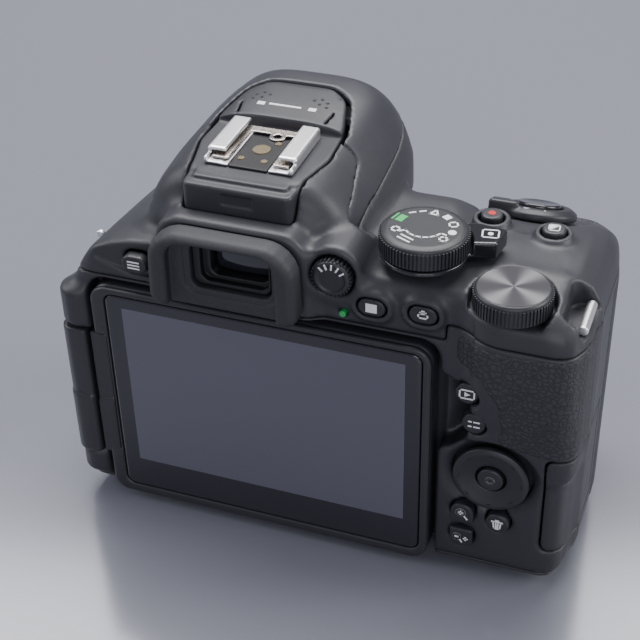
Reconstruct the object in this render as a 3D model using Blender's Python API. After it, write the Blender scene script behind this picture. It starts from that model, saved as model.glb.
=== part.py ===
"""A compact digital single-lens reflex camera body, built as an assembly of separate pieces.

Frame: +X is the photographer's right, +Y points to the subject, +Z is up.
The origin is on the base plane, under the middle of the bounding box.
Sizes below are millimetres; every mesh is written in metres.
"""
import math

import bmesh
import bpy
from mathutils import Matrix, Vector

MM = 0.001

# Overall sizes
BODY_WIDTH = 124.0
BODY_DEPTH = 70.0
BODY_HEIGHT = 97.0
SHELL_WALL = 2.0
SEAM_GAP = 0.3
FIT_GAP = 0.35
LEFT = -BODY_WIDTH / 2
RIGHT = BODY_WIDTH / 2
EYECUP_REAR = -BODY_DEPTH / 2
GRIP_FRONT = BODY_DEPTH / 2

# Datum planes
MONITOR_FACE = EYECUP_REAR + 6.0
REAR_FACE = MONITOR_FACE + 1.5
BROW_FACE = MONITOR_FACE + 2.0
FRONT_FACE = GRIP_FRONT - 20.0
FLANGE_FACE = GRIP_FRONT - 5.0
COVER_SEAM_Y = MONITOR_FACE + 14.0
DECK_Z = BODY_HEIGHT - 17.0
TOP_SEAM_Z = BODY_HEIGHT - 31.5
RIGHT_SEAM_X = RIGHT - 31.0
RIGHT_SEAM_Z = TOP_SEAM_Z + 4.0
LAMP_REAR = FLANGE_FACE - 19.0
BASE_PLATE = 4.0

# Optics
AXIS_X = LEFT + 44.7
AXIS_Z = 43.0
FLANGE_FOCAL = 46.5
SENSOR_FACE = FLANGE_FACE - FLANGE_FOCAL
MOUNT_OUTER_R = 30.0
MOUNT_INNER_R = 22.0
MOUNT_THICK = 2.4
BOSS_R = 31.5

# Rear monitor and its side hinge
MONITOR_GAP = 0.6
MONITOR_THICK = 7.0
MONITOR_LEFT = LEFT + 9.0
MONITOR_RIGHT = RIGHT - 33.6
MONITOR_BOTTOM = 1.9
MONITOR_TOP = TOP_SEAM_Z - 2.2
MONITOR_CORNER = 4.0
BEZEL_THICK = 1.5
GLASS_THICK = 1.0
GLASS_BORDER = (3.7, 2.0, 2.7, 1.6)  # left, right, bottom, top
HINGE_R = 4.2
HINGE_X = LEFT + HINGE_R
HINGE_Y = MONITOR_FACE + 3.6
HINGE_PIN_R = 1.6
HINGE_PIN_LONG = 4.0
ARM_MID_Z = (MONITOR_BOTTOM + MONITOR_TOP) / 2
ARM_BAR_HALF = 16.5
ARM_NOTCH_HALF = 17.2
ARM_BAR_WIDE = 3.4
ARM_LOW = ARM_MID_Z - 19.4
ARM_HIGH = ARM_MID_Z + 17.4
KNUCKLE_HIGH = ARM_HIGH + 11.5
KNUCKLE_LOW = BASE_PLATE + SEAM_GAP
RECESS_FLOOR = MONITOR_FACE + MONITOR_THICK + 0.4

# Deck controls: centre x, centre y, radius
MODE_X, MODE_Y, MODE_R = RIGHT - 39.0, MONITOR_FACE + 11.2, 9.7
MODE_LOW, MODE_HIGH = DECK_Z + 1.6, DECK_Z + 6.7
LEVER_R = 9.0
COMMAND_X, COMMAND_Y, COMMAND_R = RIGHT - 18.0, MONITOR_FACE + 4.0, 8.3
COMMAND_LOW, COMMAND_HIGH = DECK_Z - 4.2, DECK_Z + 0.9
SHAFT_R = 2.4
SLOPE_ANGLE = 23.0
SWITCH_X, SWITCH_Y = RIGHT - 22.0, GRIP_FRONT - 16.5
SWITCH_R = 9.0
SHUTTER_R = 5.0

# Prism hump: distance behind the hump's front, half width, top height below BODY_HEIGHT
HUMP_FRONT = FLANGE_FACE - 3.0
HUMP_STATIONS = (
    (52.6, 17.5, 4.4), (42.0, 21.0, 3.4), (28.0, 24.8, 2.2), (16.0, 27.0, 0.6),
    (9.0, 27.5, 0.0), (3.0, 26.5, 1.2), (0.0, 24.5, 5.0),
)
HUMP_FLATNESS = 3.6
FLASH_WALL = 2.1
DOME_INSET = FLASH_WALL + 0.5
PIVOT_Y, PIVOT_Z = MONITOR_FACE + 15.5, DECK_Z + 4.0
PIVOT_R = 1.3
ARM_TIP_R = 3.2
FLASH_FRONT_Z = DECK_Z + 9.0

# Hot shoe
SHOE_FLOOR = BODY_HEIGHT - 4.8
SHOE_REAR = MONITOR_FACE + 13.0
SHOE_LONG = 18.2
SHOE_WIDE = 20.7
SHOE_GAP = 12.6
SHOE_HIGH = 3.0
SHOE_SHEET = 0.9

# Buttons
BUTTON_PROUD = 0.7
BUTTON_LONG = 3.0

# Collections
OBJECT_NAME = "dslr_camera"


def start():
    """Empties the scene and makes the collections for the parts and the cutters."""
    for obj in list(bpy.data.objects):
        bpy.data.objects.remove(obj)
    made = []
    for name in (OBJECT_NAME, "cutters"):
        collection = bpy.data.collections.new(name)
        bpy.context.scene.collection.children.link(collection)
        made.append(collection)
    return made


PARTS, CUTTERS = start()
MATERIALS = {}


def material(name, colour, roughness, metallic=0.0):
    """A Principled material, made once and shared."""
    if name not in MATERIALS:
        made = bpy.data.materials.new(name)
        made.use_nodes = True
        shader = made.node_tree.nodes["Principled BSDF"]
        shader.inputs["Base Color"].default_value = (*colour, 1.0)
        shader.inputs["Roughness"].default_value = roughness
        shader.inputs["Metallic"].default_value = metallic
        MATERIALS[name] = made
    return MATERIALS[name]


FINISHES = {
    "shell": ((0.035, 0.036, 0.04), 0.55, 0.0),
    "rubber": ((0.028, 0.028, 0.03), 0.75, 0.0),
    "gloss": ((0.02, 0.021, 0.024), 0.2, 0.0),
    "button": ((0.03, 0.03, 0.033), 0.4, 0.0),
    "steel": ((0.72, 0.7, 0.67), 0.25, 1.0),
    "glass": ((0.06, 0.06, 0.07), 0.05, 0.0),
    "lens": ((0.75, 0.8, 0.82), 0.05, 0.0),
    "mirror": ((0.9, 0.9, 0.92), 0.05, 1.0),
    "frame": ((0.1, 0.1, 0.11), 0.6, 0.0),
    "diffuser": ((0.8, 0.8, 0.78), 0.4, 0.0),
}


# ---------------------------------------------------------------- shapes
def solid(bm, name):
    """An object in the cutters collection, from a bmesh in millimetres."""
    bmesh.ops.scale(bm, vec=(MM, MM, MM), verts=bm.verts)
    mesh = bpy.data.meshes.new(name)
    bm.to_mesh(mesh)
    bm.free()
    obj = bpy.data.objects.new(name, mesh)
    obj.hide_render = True
    obj.display_type = "WIRE"
    CUTTERS.objects.link(obj)
    return obj


def block(low, high):
    """A box between two corners."""
    bm = bmesh.new()
    bmesh.ops.create_cube(bm, size=1.0)
    size = [h - l for l, h in zip(low, high)]
    middle = [(h + l) / 2 for l, h in zip(low, high)]
    bmesh.ops.scale(bm, vec=size, verts=bm.verts)
    bmesh.ops.translate(bm, vec=middle, verts=bm.verts)
    return solid(bm, "block")


TURN = {
    "X": Matrix.Rotation(math.pi / 2, 4, "Y"),
    "Y": Matrix.Rotation(-math.pi / 2, 4, "X"),
    "Z": Matrix.Identity(4),
}


def rod(centre, radius, low, high, axis="Z", sides=24, top_radius=None):
    """A cylinder or cone along an axis, from low to high on it; centre gives the other two coordinates."""
    bm = bmesh.new()
    top = radius if top_radius is None else top_radius
    bmesh.ops.create_cone(
        bm, cap_ends=True, segments=sides, radius1=radius, radius2=top, depth=high - low
    )
    bmesh.ops.transform(bm, matrix=TURN[axis], verts=bm.verts)
    middle = (low + high) / 2
    place = {
        "X": (middle, centre[0], centre[1]),
        "Y": (centre[0], middle, centre[1]),
        "Z": (centre[0], centre[1], middle),
    }[axis]
    bmesh.ops.translate(bm, vec=place, verts=bm.verts)
    return solid(bm, "rod")


def inset_corners(corners, distance):
    """Moves each side of a counter-clockwise outline inwards; fillet radii shrink with it."""
    moved = []
    count = len(corners)
    for i, (x, y, radius) in enumerate(corners):
        here = Vector((x, y))
        before = (here - Vector(corners[i - 1][:2])).normalized()
        after = (Vector(corners[(i + 1) % count][:2]) - here).normalized()
        normal_a = Vector((-before.y, before.x))
        normal_b = Vector((-after.y, after.x))
        shift = (normal_a + normal_b) / (1 + normal_a.dot(normal_b))
        turns_left = before.x * after.y - before.y * after.x > 0
        new_radius = radius - distance if turns_left else radius + distance
        there = here + shift * distance
        moved.append((there.x, there.y, max(new_radius, 0.0)))
    return moved


def filleted(corners, steps=5):
    """The outline's points, each corner (x, y, radius) rounded by an arc."""
    points = []
    count = len(corners)
    for i, (x, y, radius) in enumerate(corners):
        here = Vector((x, y))
        to_last = Vector(corners[i - 1][:2]) - here
        to_next = Vector(corners[(i + 1) % count][:2]) - here
        if radius < 0.05:
            points.append(here)
            continue
        half = to_last.angle(to_next) / 2
        reach = min(radius / math.tan(half), 0.49 * to_last.length, 0.49 * to_next.length)
        radius = reach * math.tan(half)
        bisector = (to_last.normalized() + to_next.normalized()).normalized()
        centre = here + bisector * (radius / math.sin(half))
        start = here + to_last.normalized() * reach - centre
        end = here + to_next.normalized() * reach - centre
        sweep = start.angle_signed(end)
        for k in range(steps + 1):
            turned = start.copy()
            turned.rotate(Matrix.Rotation(-sweep * k / steps, 2))
            points.append(centre + turned)
    return points


PLANES = {
    "Z": Matrix.Identity(4),
    "Y": Matrix.Rotation(math.pi / 2, 4, "X"),
    "X": Matrix(((0, 0, 1, 0), (1, 0, 0, 0), (0, 1, 0, 0), (0, 0, 0, 1))),
}


def prism(corners, low, high, axis="Z", steps=5):
    """A filleted outline extruded along an axis. The outline is (x, y), (x, z) or (y, z) for Z, Y or X."""
    curve = bpy.data.curves.new("outline", "CURVE")
    curve.dimensions = "2D"
    curve.fill_mode = "BOTH"
    curve.extrude = (high - low) / 2
    points = filleted(corners, steps)
    spline = curve.splines.new("POLY")
    spline.points.add(len(points) - 1)
    for slot, point in zip(spline.points, points):
        slot.co = (point.x, point.y, 0.0, 1.0)
    spline.use_cyclic_u = True
    flat = bpy.data.objects.new("outline", curve)
    CUTTERS.objects.link(flat)
    bpy.context.view_layer.update()
    graph = bpy.context.evaluated_depsgraph_get()
    mesh = bpy.data.meshes.new_from_object(flat.evaluated_get(graph))
    bpy.data.objects.remove(flat)
    bm = bmesh.new()
    bm.from_mesh(mesh)
    bpy.data.meshes.remove(mesh)
    bmesh.ops.remove_doubles(bm, verts=bm.verts, dist=0.001)
    middle = (low + high) / 2
    matrix = PLANES[axis].copy()
    matrix.translation = {"Z": (0, 0, middle), "Y": (0, middle, 0), "X": (middle, 0, 0)}[axis]
    bmesh.ops.transform(bm, matrix=matrix, verts=bm.verts)
    bmesh.ops.recalc_face_normals(bm, faces=bm.faces)
    return solid(bm, "prism")


def oblong(centre, size, low, high, axis="Y", radius=None, steps=4):
    """A rounded rectangle or an oval, extruded. By default its ends are full round."""
    x, z = centre
    half_x, half_z = size[0] / 2, size[1] / 2
    corner = min(half_x, half_z) * 0.98 if radius is None else radius
    corners = [
        (x - half_x, z - half_z, corner), (x + half_x, z - half_z, corner),
        (x + half_x, z + half_z, corner), (x - half_x, z + half_z, corner),
    ]
    return prism(corners, low, high, axis, steps)


def turned(profile, centre, axis="Z", sides=32):
    """A solid of revolution: a (radius, height) profile spun about the axis, closed unless it ends on it."""
    bm = bmesh.new()
    verts = [bm.verts.new((radius, 0.0, height)) for radius, height in profile]
    edges = [bm.edges.new(pair) for pair in zip(verts, verts[1:])]
    bmesh.ops.spin(
        bm, geom=verts + edges, cent=(0, 0, 0), axis=(0, 0, 1), angle=math.tau, steps=sides,
        use_merge=True,
    )
    bmesh.ops.remove_doubles(bm, verts=bm.verts, dist=0.001)
    bmesh.ops.recalc_face_normals(bm, faces=bm.faces)
    bmesh.ops.transform(bm, matrix=TURN[axis], verts=bm.verts)
    place = {
        "X": (0.0, centre[0], centre[1]), "Y": (centre[0], 0.0, centre[1]),
        "Z": (centre[0], centre[1], 0.0),
    }[axis]
    bmesh.ops.translate(bm, vec=place, verts=bm.verts)
    return solid(bm, "turned")


def tilted(obj, angle, pivot_y, pivot_z):
    """Turns a shape about a line along X through the pivot; a positive angle lowers its front."""
    pivot = Matrix.Translation((0, pivot_y * MM, pivot_z * MM))
    turn = pivot @ Matrix.Rotation(math.radians(-angle), 4, "X") @ pivot.inverted()
    obj.data.transform(turn)
    return obj


# ---------------------------------------------------------------- booleans
def closed(mesh):
    """Whether every edge of the mesh has exactly two faces."""
    bm = bmesh.new()
    bm.from_mesh(mesh)
    whole = all(len(edge.link_faces) == 2 for edge in bm.edges)
    bm.free()
    return whole


def boolean(target, tool, operation):
    """Applies a Boolean to the target's mesh and removes the tool. The exact solver comes first."""
    modifier = target.modifiers.new(operation, "BOOLEAN")
    modifier.operation = operation
    modifier.object = tool
    for solver in ("EXACT", "MANIFOLD"):
        modifier.solver = solver
        bpy.context.view_layer.update()
        graph = bpy.context.evaluated_depsgraph_get()
        mesh = bpy.data.meshes.new_from_object(target.evaluated_get(graph))
        if closed(mesh):
            break
    target.modifiers.clear()
    target.data = mesh
    bpy.data.objects.remove(tool)
    return target


def cut(target, *tools):
    for tool in tools:
        boolean(target, tool, "DIFFERENCE")
    return target


def join(target, *tools):
    for tool in tools:
        boolean(target, tool, "UNION")
    return target


def common(target, *tools):
    for tool in tools:
        boolean(target, tool, "INTERSECT")
    return target


def copy_of(obj):
    """A second solid of the same shape, for use as a tool."""
    twin = bpy.data.objects.new(obj.name, obj.data.copy())
    twin.hide_render = True
    CUTTERS.objects.link(twin)
    return twin


def part(name, obj, finish):
    """Names a finished solid, gives it its material and moves it to the parts collection."""
    obj.name = name
    obj.data.name = name
    obj.hide_render = False
    obj.display_type = "TEXTURED"
    CUTTERS.objects.unlink(obj)
    PARTS.objects.link(obj)
    colour, roughness, metallic = FINISHES[finish]
    obj.data.materials.clear()
    obj.data.materials.append(material(finish, colour, roughness, metallic))
    obj.data.shade_smooth()
    obj.data.set_sharp_from_angle(angle=math.radians(35))
    return obj


def set_origin(obj, point):
    """Puts the object's origin on its joint's axis, with the shape where it was."""
    place = Vector(point) * MM
    obj.data.transform(Matrix.Translation(-place))
    obj.location = place
    return obj


# ---------------------------------------------------------------- outer form
def body_plan(inset):
    """The main block in plan, without grip or thumb rest."""
    corners = [
        (LEFT, REAR_FACE, 3.0), (RIGHT + OVERLAP, REAR_FACE, 8.0),
        (RIGHT + OVERLAP, FRONT_FACE, 6.0), (LEFT, FRONT_FACE, 14.0),
    ]
    return inset_corners(corners, inset)


def body_front(inset):
    """The outline that the block, the grip and the thumb rest share, seen from the rear."""
    corners = [
        (LEFT, 0.0, 4.0), (RIGHT, 0.0, 5.0), (RIGHT, DECK_Z, 11.0),
        (LEFT + 16.0, DECK_Z, 10.0), (LEFT + 7.0, DECK_Z - 7.0, 6.0), (LEFT, DECK_Z - 21.0, 6.0),
    ]
    return inset_corners(corners, inset)


def body_side(inset):
    """The block seen from the side: its long edges are rounded."""
    corners = [
        (REAR_FACE, 0.0, 2.5), (FRONT_FACE, 0.0, 2.5),
        (FRONT_FACE, DECK_Z + OVERLAP, 9.0), (REAR_FACE, DECK_Z + OVERLAP, 5.0),
    ]
    return inset_corners(corners, inset)


OVERLAP = 0.05
GRIP_LEFT = RIGHT - 31.5
THUMB_REAR = MONITOR_FACE - 3.7
THUMB_LEFT = RIGHT - 24.0


def grip_plan(inset):
    corners = [
        (GRIP_LEFT, REAR_FACE + 10.0, 0.0), (RIGHT + 2 * OVERLAP, REAR_FACE + 10.0, 0.0),
        (RIGHT + 2 * OVERLAP, GRIP_FRONT - 12.0, 12.0), (RIGHT - 6.0, GRIP_FRONT, 9.0),
        (GRIP_LEFT + 3.0, GRIP_FRONT, 9.0),
    ]
    return inset_corners(corners, inset)


def grip_side(inset):
    """The grip seen from the side: its top slopes down to the shutter button."""
    corners = [
        (REAR_FACE + 10.0, -OVERLAP, 0.0), (GRIP_FRONT - 5.0, -OVERLAP, 4.0), (GRIP_FRONT, 46.0, 30.0),
        (GRIP_FRONT, DECK_Z - 16.0, 8.0), (GRIP_FRONT - 5.0, DECK_Z - 9.0, 6.0),
        (GRIP_FRONT - 26.0, DECK_Z, 12.0), (REAR_FACE + 10.0, DECK_Z + 2 * OVERLAP, 0.0),
    ]
    return inset_corners(corners, inset)


def thumb_plan(inset):
    corners = [
        (THUMB_LEFT, THUMB_REAR, 10.0), (RIGHT + 3 * OVERLAP, THUMB_REAR, 10.0),
        (RIGHT + 3 * OVERLAP, REAR_FACE + 14.0, 0.0), (THUMB_LEFT, REAR_FACE + 14.0, 0.0),
    ]
    return inset_corners(corners, inset)


def thumb_side(inset):
    corners = [
        (REAR_FACE + 1.0, 36.0, 0.0), (REAR_FACE + 14.0, 36.0, 0.0), (REAR_FACE + 14.0, DECK_Z + 3 * OVERLAP, 0.0),
        (REAR_FACE + 0.5, DECK_Z + 3 * OVERLAP, 6.0), (THUMB_REAR, DECK_Z - 6.0, 5.0), (THUMB_REAR, DECK_Z - 20.0, 16.0),
    ]
    return inset_corners(corners, inset)


def arch(half_width, height, points):
    """The upper half of a superellipse, from its right foot over the top to its left foot."""
    power = 2.0 / HUMP_FLATNESS
    shape = []
    for k in range(points):
        angle = math.pi * k / (points - 1)
        cosine, sine = math.cos(angle), math.sin(angle)
        across = math.copysign(abs(cosine) ** power, cosine) * half_width
        shape.append((across, abs(sine) ** power * height))
    return shape


def hump(inset, foot=DECK_Z - 1.5, points=13):
    """The prism hump, a loft of arches along Y, drawn in by an inset."""
    bm = bmesh.new()
    rings = []
    last = len(HUMP_STATIONS) - 1
    for i, (back, half, drop) in enumerate(HUMP_STATIONS):
        y = HUMP_FRONT - back
        y += inset if i == 0 else -inset if i == last else 0.0
        height = BODY_HEIGHT - drop - inset - foot
        shape = arch(half - inset, height, points)
        rings.append([bm.verts.new((AXIS_X + x, y, foot + z)) for x, z in shape])
    for ring, after in zip(rings, rings[1:]):
        for k in range(points):
            nxt = (k + 1) % points
            bm.faces.new((ring[k], ring[nxt], after[nxt], after[k]))
    bm.faces.new(rings[0])
    bm.faces.new(rings[-1])
    bmesh.ops.recalc_face_normals(bm, faces=bm.faces)
    return solid(bm, "hump")


def viewfinder_block(inset):
    """The housing under the eyecup, between the hump and the rear face."""
    corners = inset_corners([
        (AXIS_X - 15.5, TOP_SEAM_Z + 1.0, 2.0), (AXIS_X + 15.5, TOP_SEAM_Z + 1.0, 2.0),
        (AXIS_X + 14.5, EYEPIECE_HIGH + 1.0, 5.0), (AXIS_X - 14.5, EYEPIECE_HIGH + 1.0, 5.0),
    ], inset)
    return prism(corners, BROW_FACE - 1.0 + inset, HUMP_FRONT - 40.0 - inset, "Y")


EYEPIECE_LOW = TOP_SEAM_Z + 2.5
EYEPIECE_HIGH = DECK_Z + 4.0


def envelope(inset):
    """The whole outer form, drawn in by a wall thickness to make the hollow."""
    high = DECK_Z + 5.0
    main = prism(body_plan(inset), inset - 5, high, "Z")
    common(main, prism(body_side(inset), LEFT - 5, RIGHT + 5, "X"))
    grip = prism(grip_plan(inset), inset - 6, high, "Z")
    common(grip, prism(grip_side(inset), GRIP_LEFT - 5, RIGHT + 5, "X"))
    thumb = prism(thumb_plan(inset), inset - 5, high, "Z")
    common(thumb, prism(thumb_side(inset), THUMB_LEFT - 5, RIGHT + 5, "X"))
    join(main, grip, thumb)
    common(main, prism(body_front(inset), EYECUP_REAR - 5, GRIP_FRONT + 5, "Y"))
    boss = rod((AXIS_X, AXIS_Z), BOSS_R - inset, 0.0, FLANGE_FACE - MOUNT_THICK - SEAM_GAP - inset, "Y", 40)
    join(main, boss, viewfinder_block(inset))
    return main


# ---------------------------------------------------------------- covers
def upper_zone(gap):
    """Everything above the line that the flash head's lower edge follows, side to side."""
    far_y = HUMP_FRONT + 9.0
    low = PIVOT_Z - ARM_TIP_R - gap
    corners = [
        (EYECUP_REAR - 9.0, low, 0.0), (PIVOT_Y, low, 3.0), (far_y, FLASH_FRONT_Z - gap, 0.0),
        (far_y, BODY_HEIGHT + 9.0, 0.0), (EYECUP_REAR - 9.0, BODY_HEIGHT + 9.0, 0.0),
    ]
    return prism(corners, LEFT, RIGHT, "X")


def head_zone():
    """The flash head's part of the upper zone: in front of a line that rises from the pivot."""
    far_y = HUMP_FRONT + 9.0
    rise = BODY_HEIGHT + 9.0
    corners = [
        (PIVOT_Y - ARM_TIP_R, PIVOT_Z - ARM_TIP_R, ARM_TIP_R), (PIVOT_Y, PIVOT_Z - ARM_TIP_R, 3.0),
        (far_y, FLASH_FRONT_Z, 0.0), (far_y, rise, 0.0), (PIVOT_Y + rise - PIVOT_Z, rise, 0.0),
        (PIVOT_Y - ARM_TIP_R, PIVOT_Z + ARM_TIP_R, 3.0),
    ]
    return prism(corners, LEFT, RIGHT, "X")


def panel_plan(grow):
    """The plate round the hot shoe, in plan."""
    rear, front = MONITOR_FACE + 5.0, HUMP_FRONT - 10.5
    corners = [
        (AXIS_X - 12.0, rear, 2.5), (AXIS_X + 12.0, rear, 2.5), (AXIS_X + 13.0, rear + 8.0, 3.0),
        (AXIS_X + 15.5, rear + 19.0, 6.0), (AXIS_X + 15.0, rear + 33.0, 6.0),
        (AXIS_X + 11.0, front, 5.0), (AXIS_X - 11.0, front, 5.0), (AXIS_X - 15.0, rear + 33.0, 6.0),
        (AXIS_X - 15.5, rear + 19.0, 6.0), (AXIS_X - 13.0, rear + 8.0, 3.0),
    ]
    return inset_corners(corners, -grow)


PANEL_LOW = BODY_HEIGHT - 9.0


def panel_side(grow):
    """The plate's side view: level under the shoe, a step at its front, then rising to the hump."""
    rear, front = MONITOR_FACE + 4.0, HUMP_FRONT - 9.0
    shoe_front = SHOE_REAR + SHOE_LONG
    return [
        (rear - grow, PANEL_LOW - grow, 0.0), (front + grow, PANEL_LOW - grow, 0.0),
        (front + grow, BODY_HEIGHT - 1.6, 0.0), (shoe_front + 3.5, BODY_HEIGHT - 1.9, 2.0),
        (shoe_front + 1.2, BODY_HEIGHT - 2.6, 0.5), (shoe_front + 0.9, SHOE_FLOOR - 0.6, 0.0),
        (SHOE_REAR - 0.8, SHOE_FLOOR - 0.6, 0.0), (SHOE_REAR - 1.4, SHOE_FLOOR + 0.4, 0.3),
        (rear - grow, SHOE_FLOOR - 0.6, 1.0),
    ]


def shell_pieces():
    """The four covers, cut from one hollow form along their seams."""
    whole = cut(envelope(0.0), envelope(SHELL_WALL))
    far = 200.0
    half = SEAM_GAP / 2
    above = join(
        block((-far, -far, TOP_SEAM_Z), (RIGHT_SEAM_X - SEAM_GAP, far, far)),
        block((RIGHT_SEAM_X - 1.0, -far, RIGHT_SEAM_Z), (far, far, far)),
    )
    below = join(
        block((-far, -far, TOP_SEAM_Z - SEAM_GAP), (RIGHT_SEAM_X, far, far)),
        block((RIGHT_SEAM_X - 1.0, -far, RIGHT_SEAM_Z - SEAM_GAP), (far, far, far)),
    )
    made = {
        "rear": common(copy_of(whole), block((-far, -far, BASE_PLATE + half), (far, COVER_SEAM_Y - half, far))),
        "front": common(copy_of(whole), block((-far, COVER_SEAM_Y + half, BASE_PLATE + half), (far, far, far))),
        "base": common(copy_of(whole), block((-far, -far, -far), (far, far, BASE_PLATE - half))),
    }
    cut(made["rear"], copy_of(below))
    cut(made["front"], below)
    made["top"] = common(whole, above)
    return made


def dome():
    """The fixed hump under the flash head, open at the front where the lamp folds in."""
    outer = hump(DOME_INSET)
    return cut(outer, block((LEFT, LAMP_REAR, FLASH_FRONT_Z - 6.0), (RIGHT, GRIP_FRONT + 9, BODY_HEIGHT + 9)))


def top_form(shell):
    """The top cover: its shell joined to the hump, stepped in where the flash head folds over it."""
    fixed = cut(hump(0.0), upper_zone(SEAM_GAP))
    join(fixed, dome())
    hollow = hump(DOME_INSET + SHELL_WALL, foot=DECK_Z - 6.0)
    front = (LEFT, LAMP_REAR - SHELL_WALL, FLASH_FRONT_Z - 6.0 - SHELL_WALL)
    cut(hollow, block(front, (RIGHT, GRIP_FRONT + 9, BODY_HEIGHT + 9)))
    tray = prism(panel_plan(SEAM_GAP + SHELL_WALL), PANEL_LOW - SEAM_GAP - SHELL_WALL, BODY_HEIGHT + 9, "Z")
    cut(hollow, tray)
    join(shell, fixed)
    cut(shell, hollow, prism(panel_plan(SEAM_GAP), PANEL_LOW - SEAM_GAP, BODY_HEIGHT + 5, "Z"))
    return shell


# ---------------------------------------------------------------- controls, as data
# name: centre x and z on the rear face, width, height
REAR_BUTTONS = {
    "playback_button": (RIGHT - 25.8, 53.4, 5.4, 5.4),
    "i_button": (RIGHT - 24.0, 45.5, 5.4, 5.4),
    "zoom_in_button": (RIGHT - 25.7, 18.7, 5.4, 5.4),
    "zoom_out_button": (RIGHT - 25.7, 11.1, 5.4, 5.4),
    "delete_button": (RIGHT - 17.4, 17.8, 5.4, 5.4),
    "menu_button": (LEFT + 21.1, TOP_SEAM_Z + 5.2, 6.2, 4.2),
    "info_button": (RIGHT - 47.3, TOP_SEAM_Z + 5.7, 6.2, 4.2),
    "lock_button": (RIGHT - 36.0, TOP_SEAM_Z + 6.2, 6.2, 4.2),
}
TOP_REAR_BUTTONS = ("menu_button", "info_button", "lock_button")
SELECTOR_X, SELECTOR_Z, SELECTOR_R, OK_R = RIGHT - 19.7, 30.2, 8.8, 3.0
# name: centre x, centre y, radius on the deck
DECK_BUTTONS = {
    "movie_button": (RIGHT - 29.1, MONITOR_FACE + 30.1, 2.4),
    "exposure_button": (RIGHT - 14.9, MONITOR_FACE + 28.2, 2.6),
}
# name: centre x, centre z, radius on the front face
FRONT_BUTTONS = {
    "flash_button": (LEFT + 17.2, 68.5, 2.6),
    "function_button": (LEFT + 11.4, 57.5, 2.8),
}
RELEASE_X, RELEASE_Z, RELEASE_R = LEFT + 10.6, 40.0, 4.2
DIOPTER_X, DIOPTER_Z, DIOPTER_R = LEFT + 67.9, DECK_Z - 2.9, 4.6
DIOPTER_FACE = MONITOR_FACE
EYECUP_WIDE, EYECUP_HIGH = 34.6, 18.6
WINDOW_WIDE, WINDOW_HIGH, WINDOW_Z = 18.4, 11.2, TOP_SEAM_Z + 11.0
CARD_LEFT, CARD_LOW, CARD_HIGH = RIGHT - 7.6, 11.5, 39.4
CARD_PIVOT_Y = -2.4
DOOR_LEFT, DOOR_RIGHT, DOOR_REAR, DOOR_FRONT = RIGHT - 27.0, RIGHT - 5.0, -12.0, GRIP_FRONT - 9.5
CELL_LOW = (RIGHT - 24.0, -10.0, SHELL_WALL + 0.4)
CELL_SIZE = (14.0, 34.0, 50.0)
SOCKET_Y, SOCKET_R, THREAD_R = -2.0, 6.0, 3.2
PORT_LOW_Y, PORT_HIGH_Y, PORT_LOW_Z, PORT_HIGH_Z = -12.0, 1.5, 14.0, 52.0
LUG_R = 1.1
RUBBER_DEEP = 1.1
RUBBER_THICK = 0.6


def button_pair(centre, size, low, high, axis="Y"):
    """A button's cap and the matching hole."""
    hole_size = [side + 2 * FIT_GAP for side in size]
    cap = oblong(centre, size, low, high, axis)
    hole = oblong(centre, hole_size, low - 9.0, high + 9.0, axis)
    return cap, hole


def rear_buttons(covers):
    """The eight small buttons of the rear face, each in its own hole."""
    for name, (x, z, wide, high) in REAR_BUTTONS.items():
        low = REAR_FACE - BUTTON_PROUD
        cap, hole = button_pair((x, z), (wide, high), low, low + BUTTON_LONG)
        cut(covers["top" if name in TOP_REAR_BUTTONS else "rear"], hole)
        set_origin(part(name, cap, "button"), (x, low, z))


def selector(rear):
    """The multi-way ring and the button in its middle, sunk in a dished well."""
    centre = (SELECTOR_X, SELECTOR_Z)
    join(rear, common(rod(centre, SELECTOR_R + 2.0, REAR_FACE, REAR_FACE + 4.6, "Y", 40), envelope(0.5)))
    cut(rear, rod(centre, SELECTOR_R + FIT_GAP, REAR_FACE - 9, REAR_FACE + 2.4, "Y", 40))
    cut(rear, rod(centre, OK_R + FIT_GAP, REAR_FACE - 9, REAR_FACE + 9, "Y", 24))
    face = REAR_FACE - BUTTON_PROUD
    ring = turned([
        (SELECTOR_R - 1.0, -face), (SELECTOR_R, -face - 0.6), (SELECTOR_R, -face - 1.9),
        (OK_R + FIT_GAP, -face - 1.9), (OK_R + FIT_GAP, -face - 0.4), (SELECTOR_R - 1.0, -face),
    ], (SELECTOR_X, -SELECTOR_Z), "Y", 40)
    ring.data.transform(Matrix.Rotation(math.pi, 4, "X"))
    set_origin(part("multi_selector", ring, "button"), (SELECTOR_X, face + 1.0, SELECTOR_Z))
    ok = rod(centre, OK_R, face + 0.2, face + 4.2, "Y", 24)
    set_origin(part("ok_button", ok, "button"), (SELECTOR_X, face, SELECTOR_Z))


def deck_buttons(top):
    for name, (x, y, radius) in DECK_BUTTONS.items():
        high = DECK_Z + BUTTON_PROUD
        cap = rod((x, y), radius, high - BUTTON_LONG, high)
        cut(top, rod((x, y), radius + FIT_GAP, high - 9, high + 9))
        set_origin(part(name, cap, "button"), (x, y, high))


def front_buttons(covers):
    for name, (x, z, radius) in FRONT_BUTTONS.items():
        high = FRONT_FACE + BUTTON_PROUD
        cap = rod((x, z), radius, high - BUTTON_LONG - 0.6, high, "Y")
        hole = rod((x, z), radius + FIT_GAP, high - 9, high + 9, "Y")
        cut(covers["top" if z > TOP_SEAM_Z else "front"], hole)
        set_origin(part(name, cap, "button"), (x, high, z))
    high = FRONT_FACE + 4.2
    cap = rod((RELEASE_X, RELEASE_Z), RELEASE_R, high - 7.0, high, "Y", 28)
    cut(covers["front"], rod((RELEASE_X, RELEASE_Z), RELEASE_R + FIT_GAP, high - 12, high + 9, "Y", 28))
    set_origin(part("lens_release_button", cap, "button"), (RELEASE_X, high, RELEASE_Z))


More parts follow.
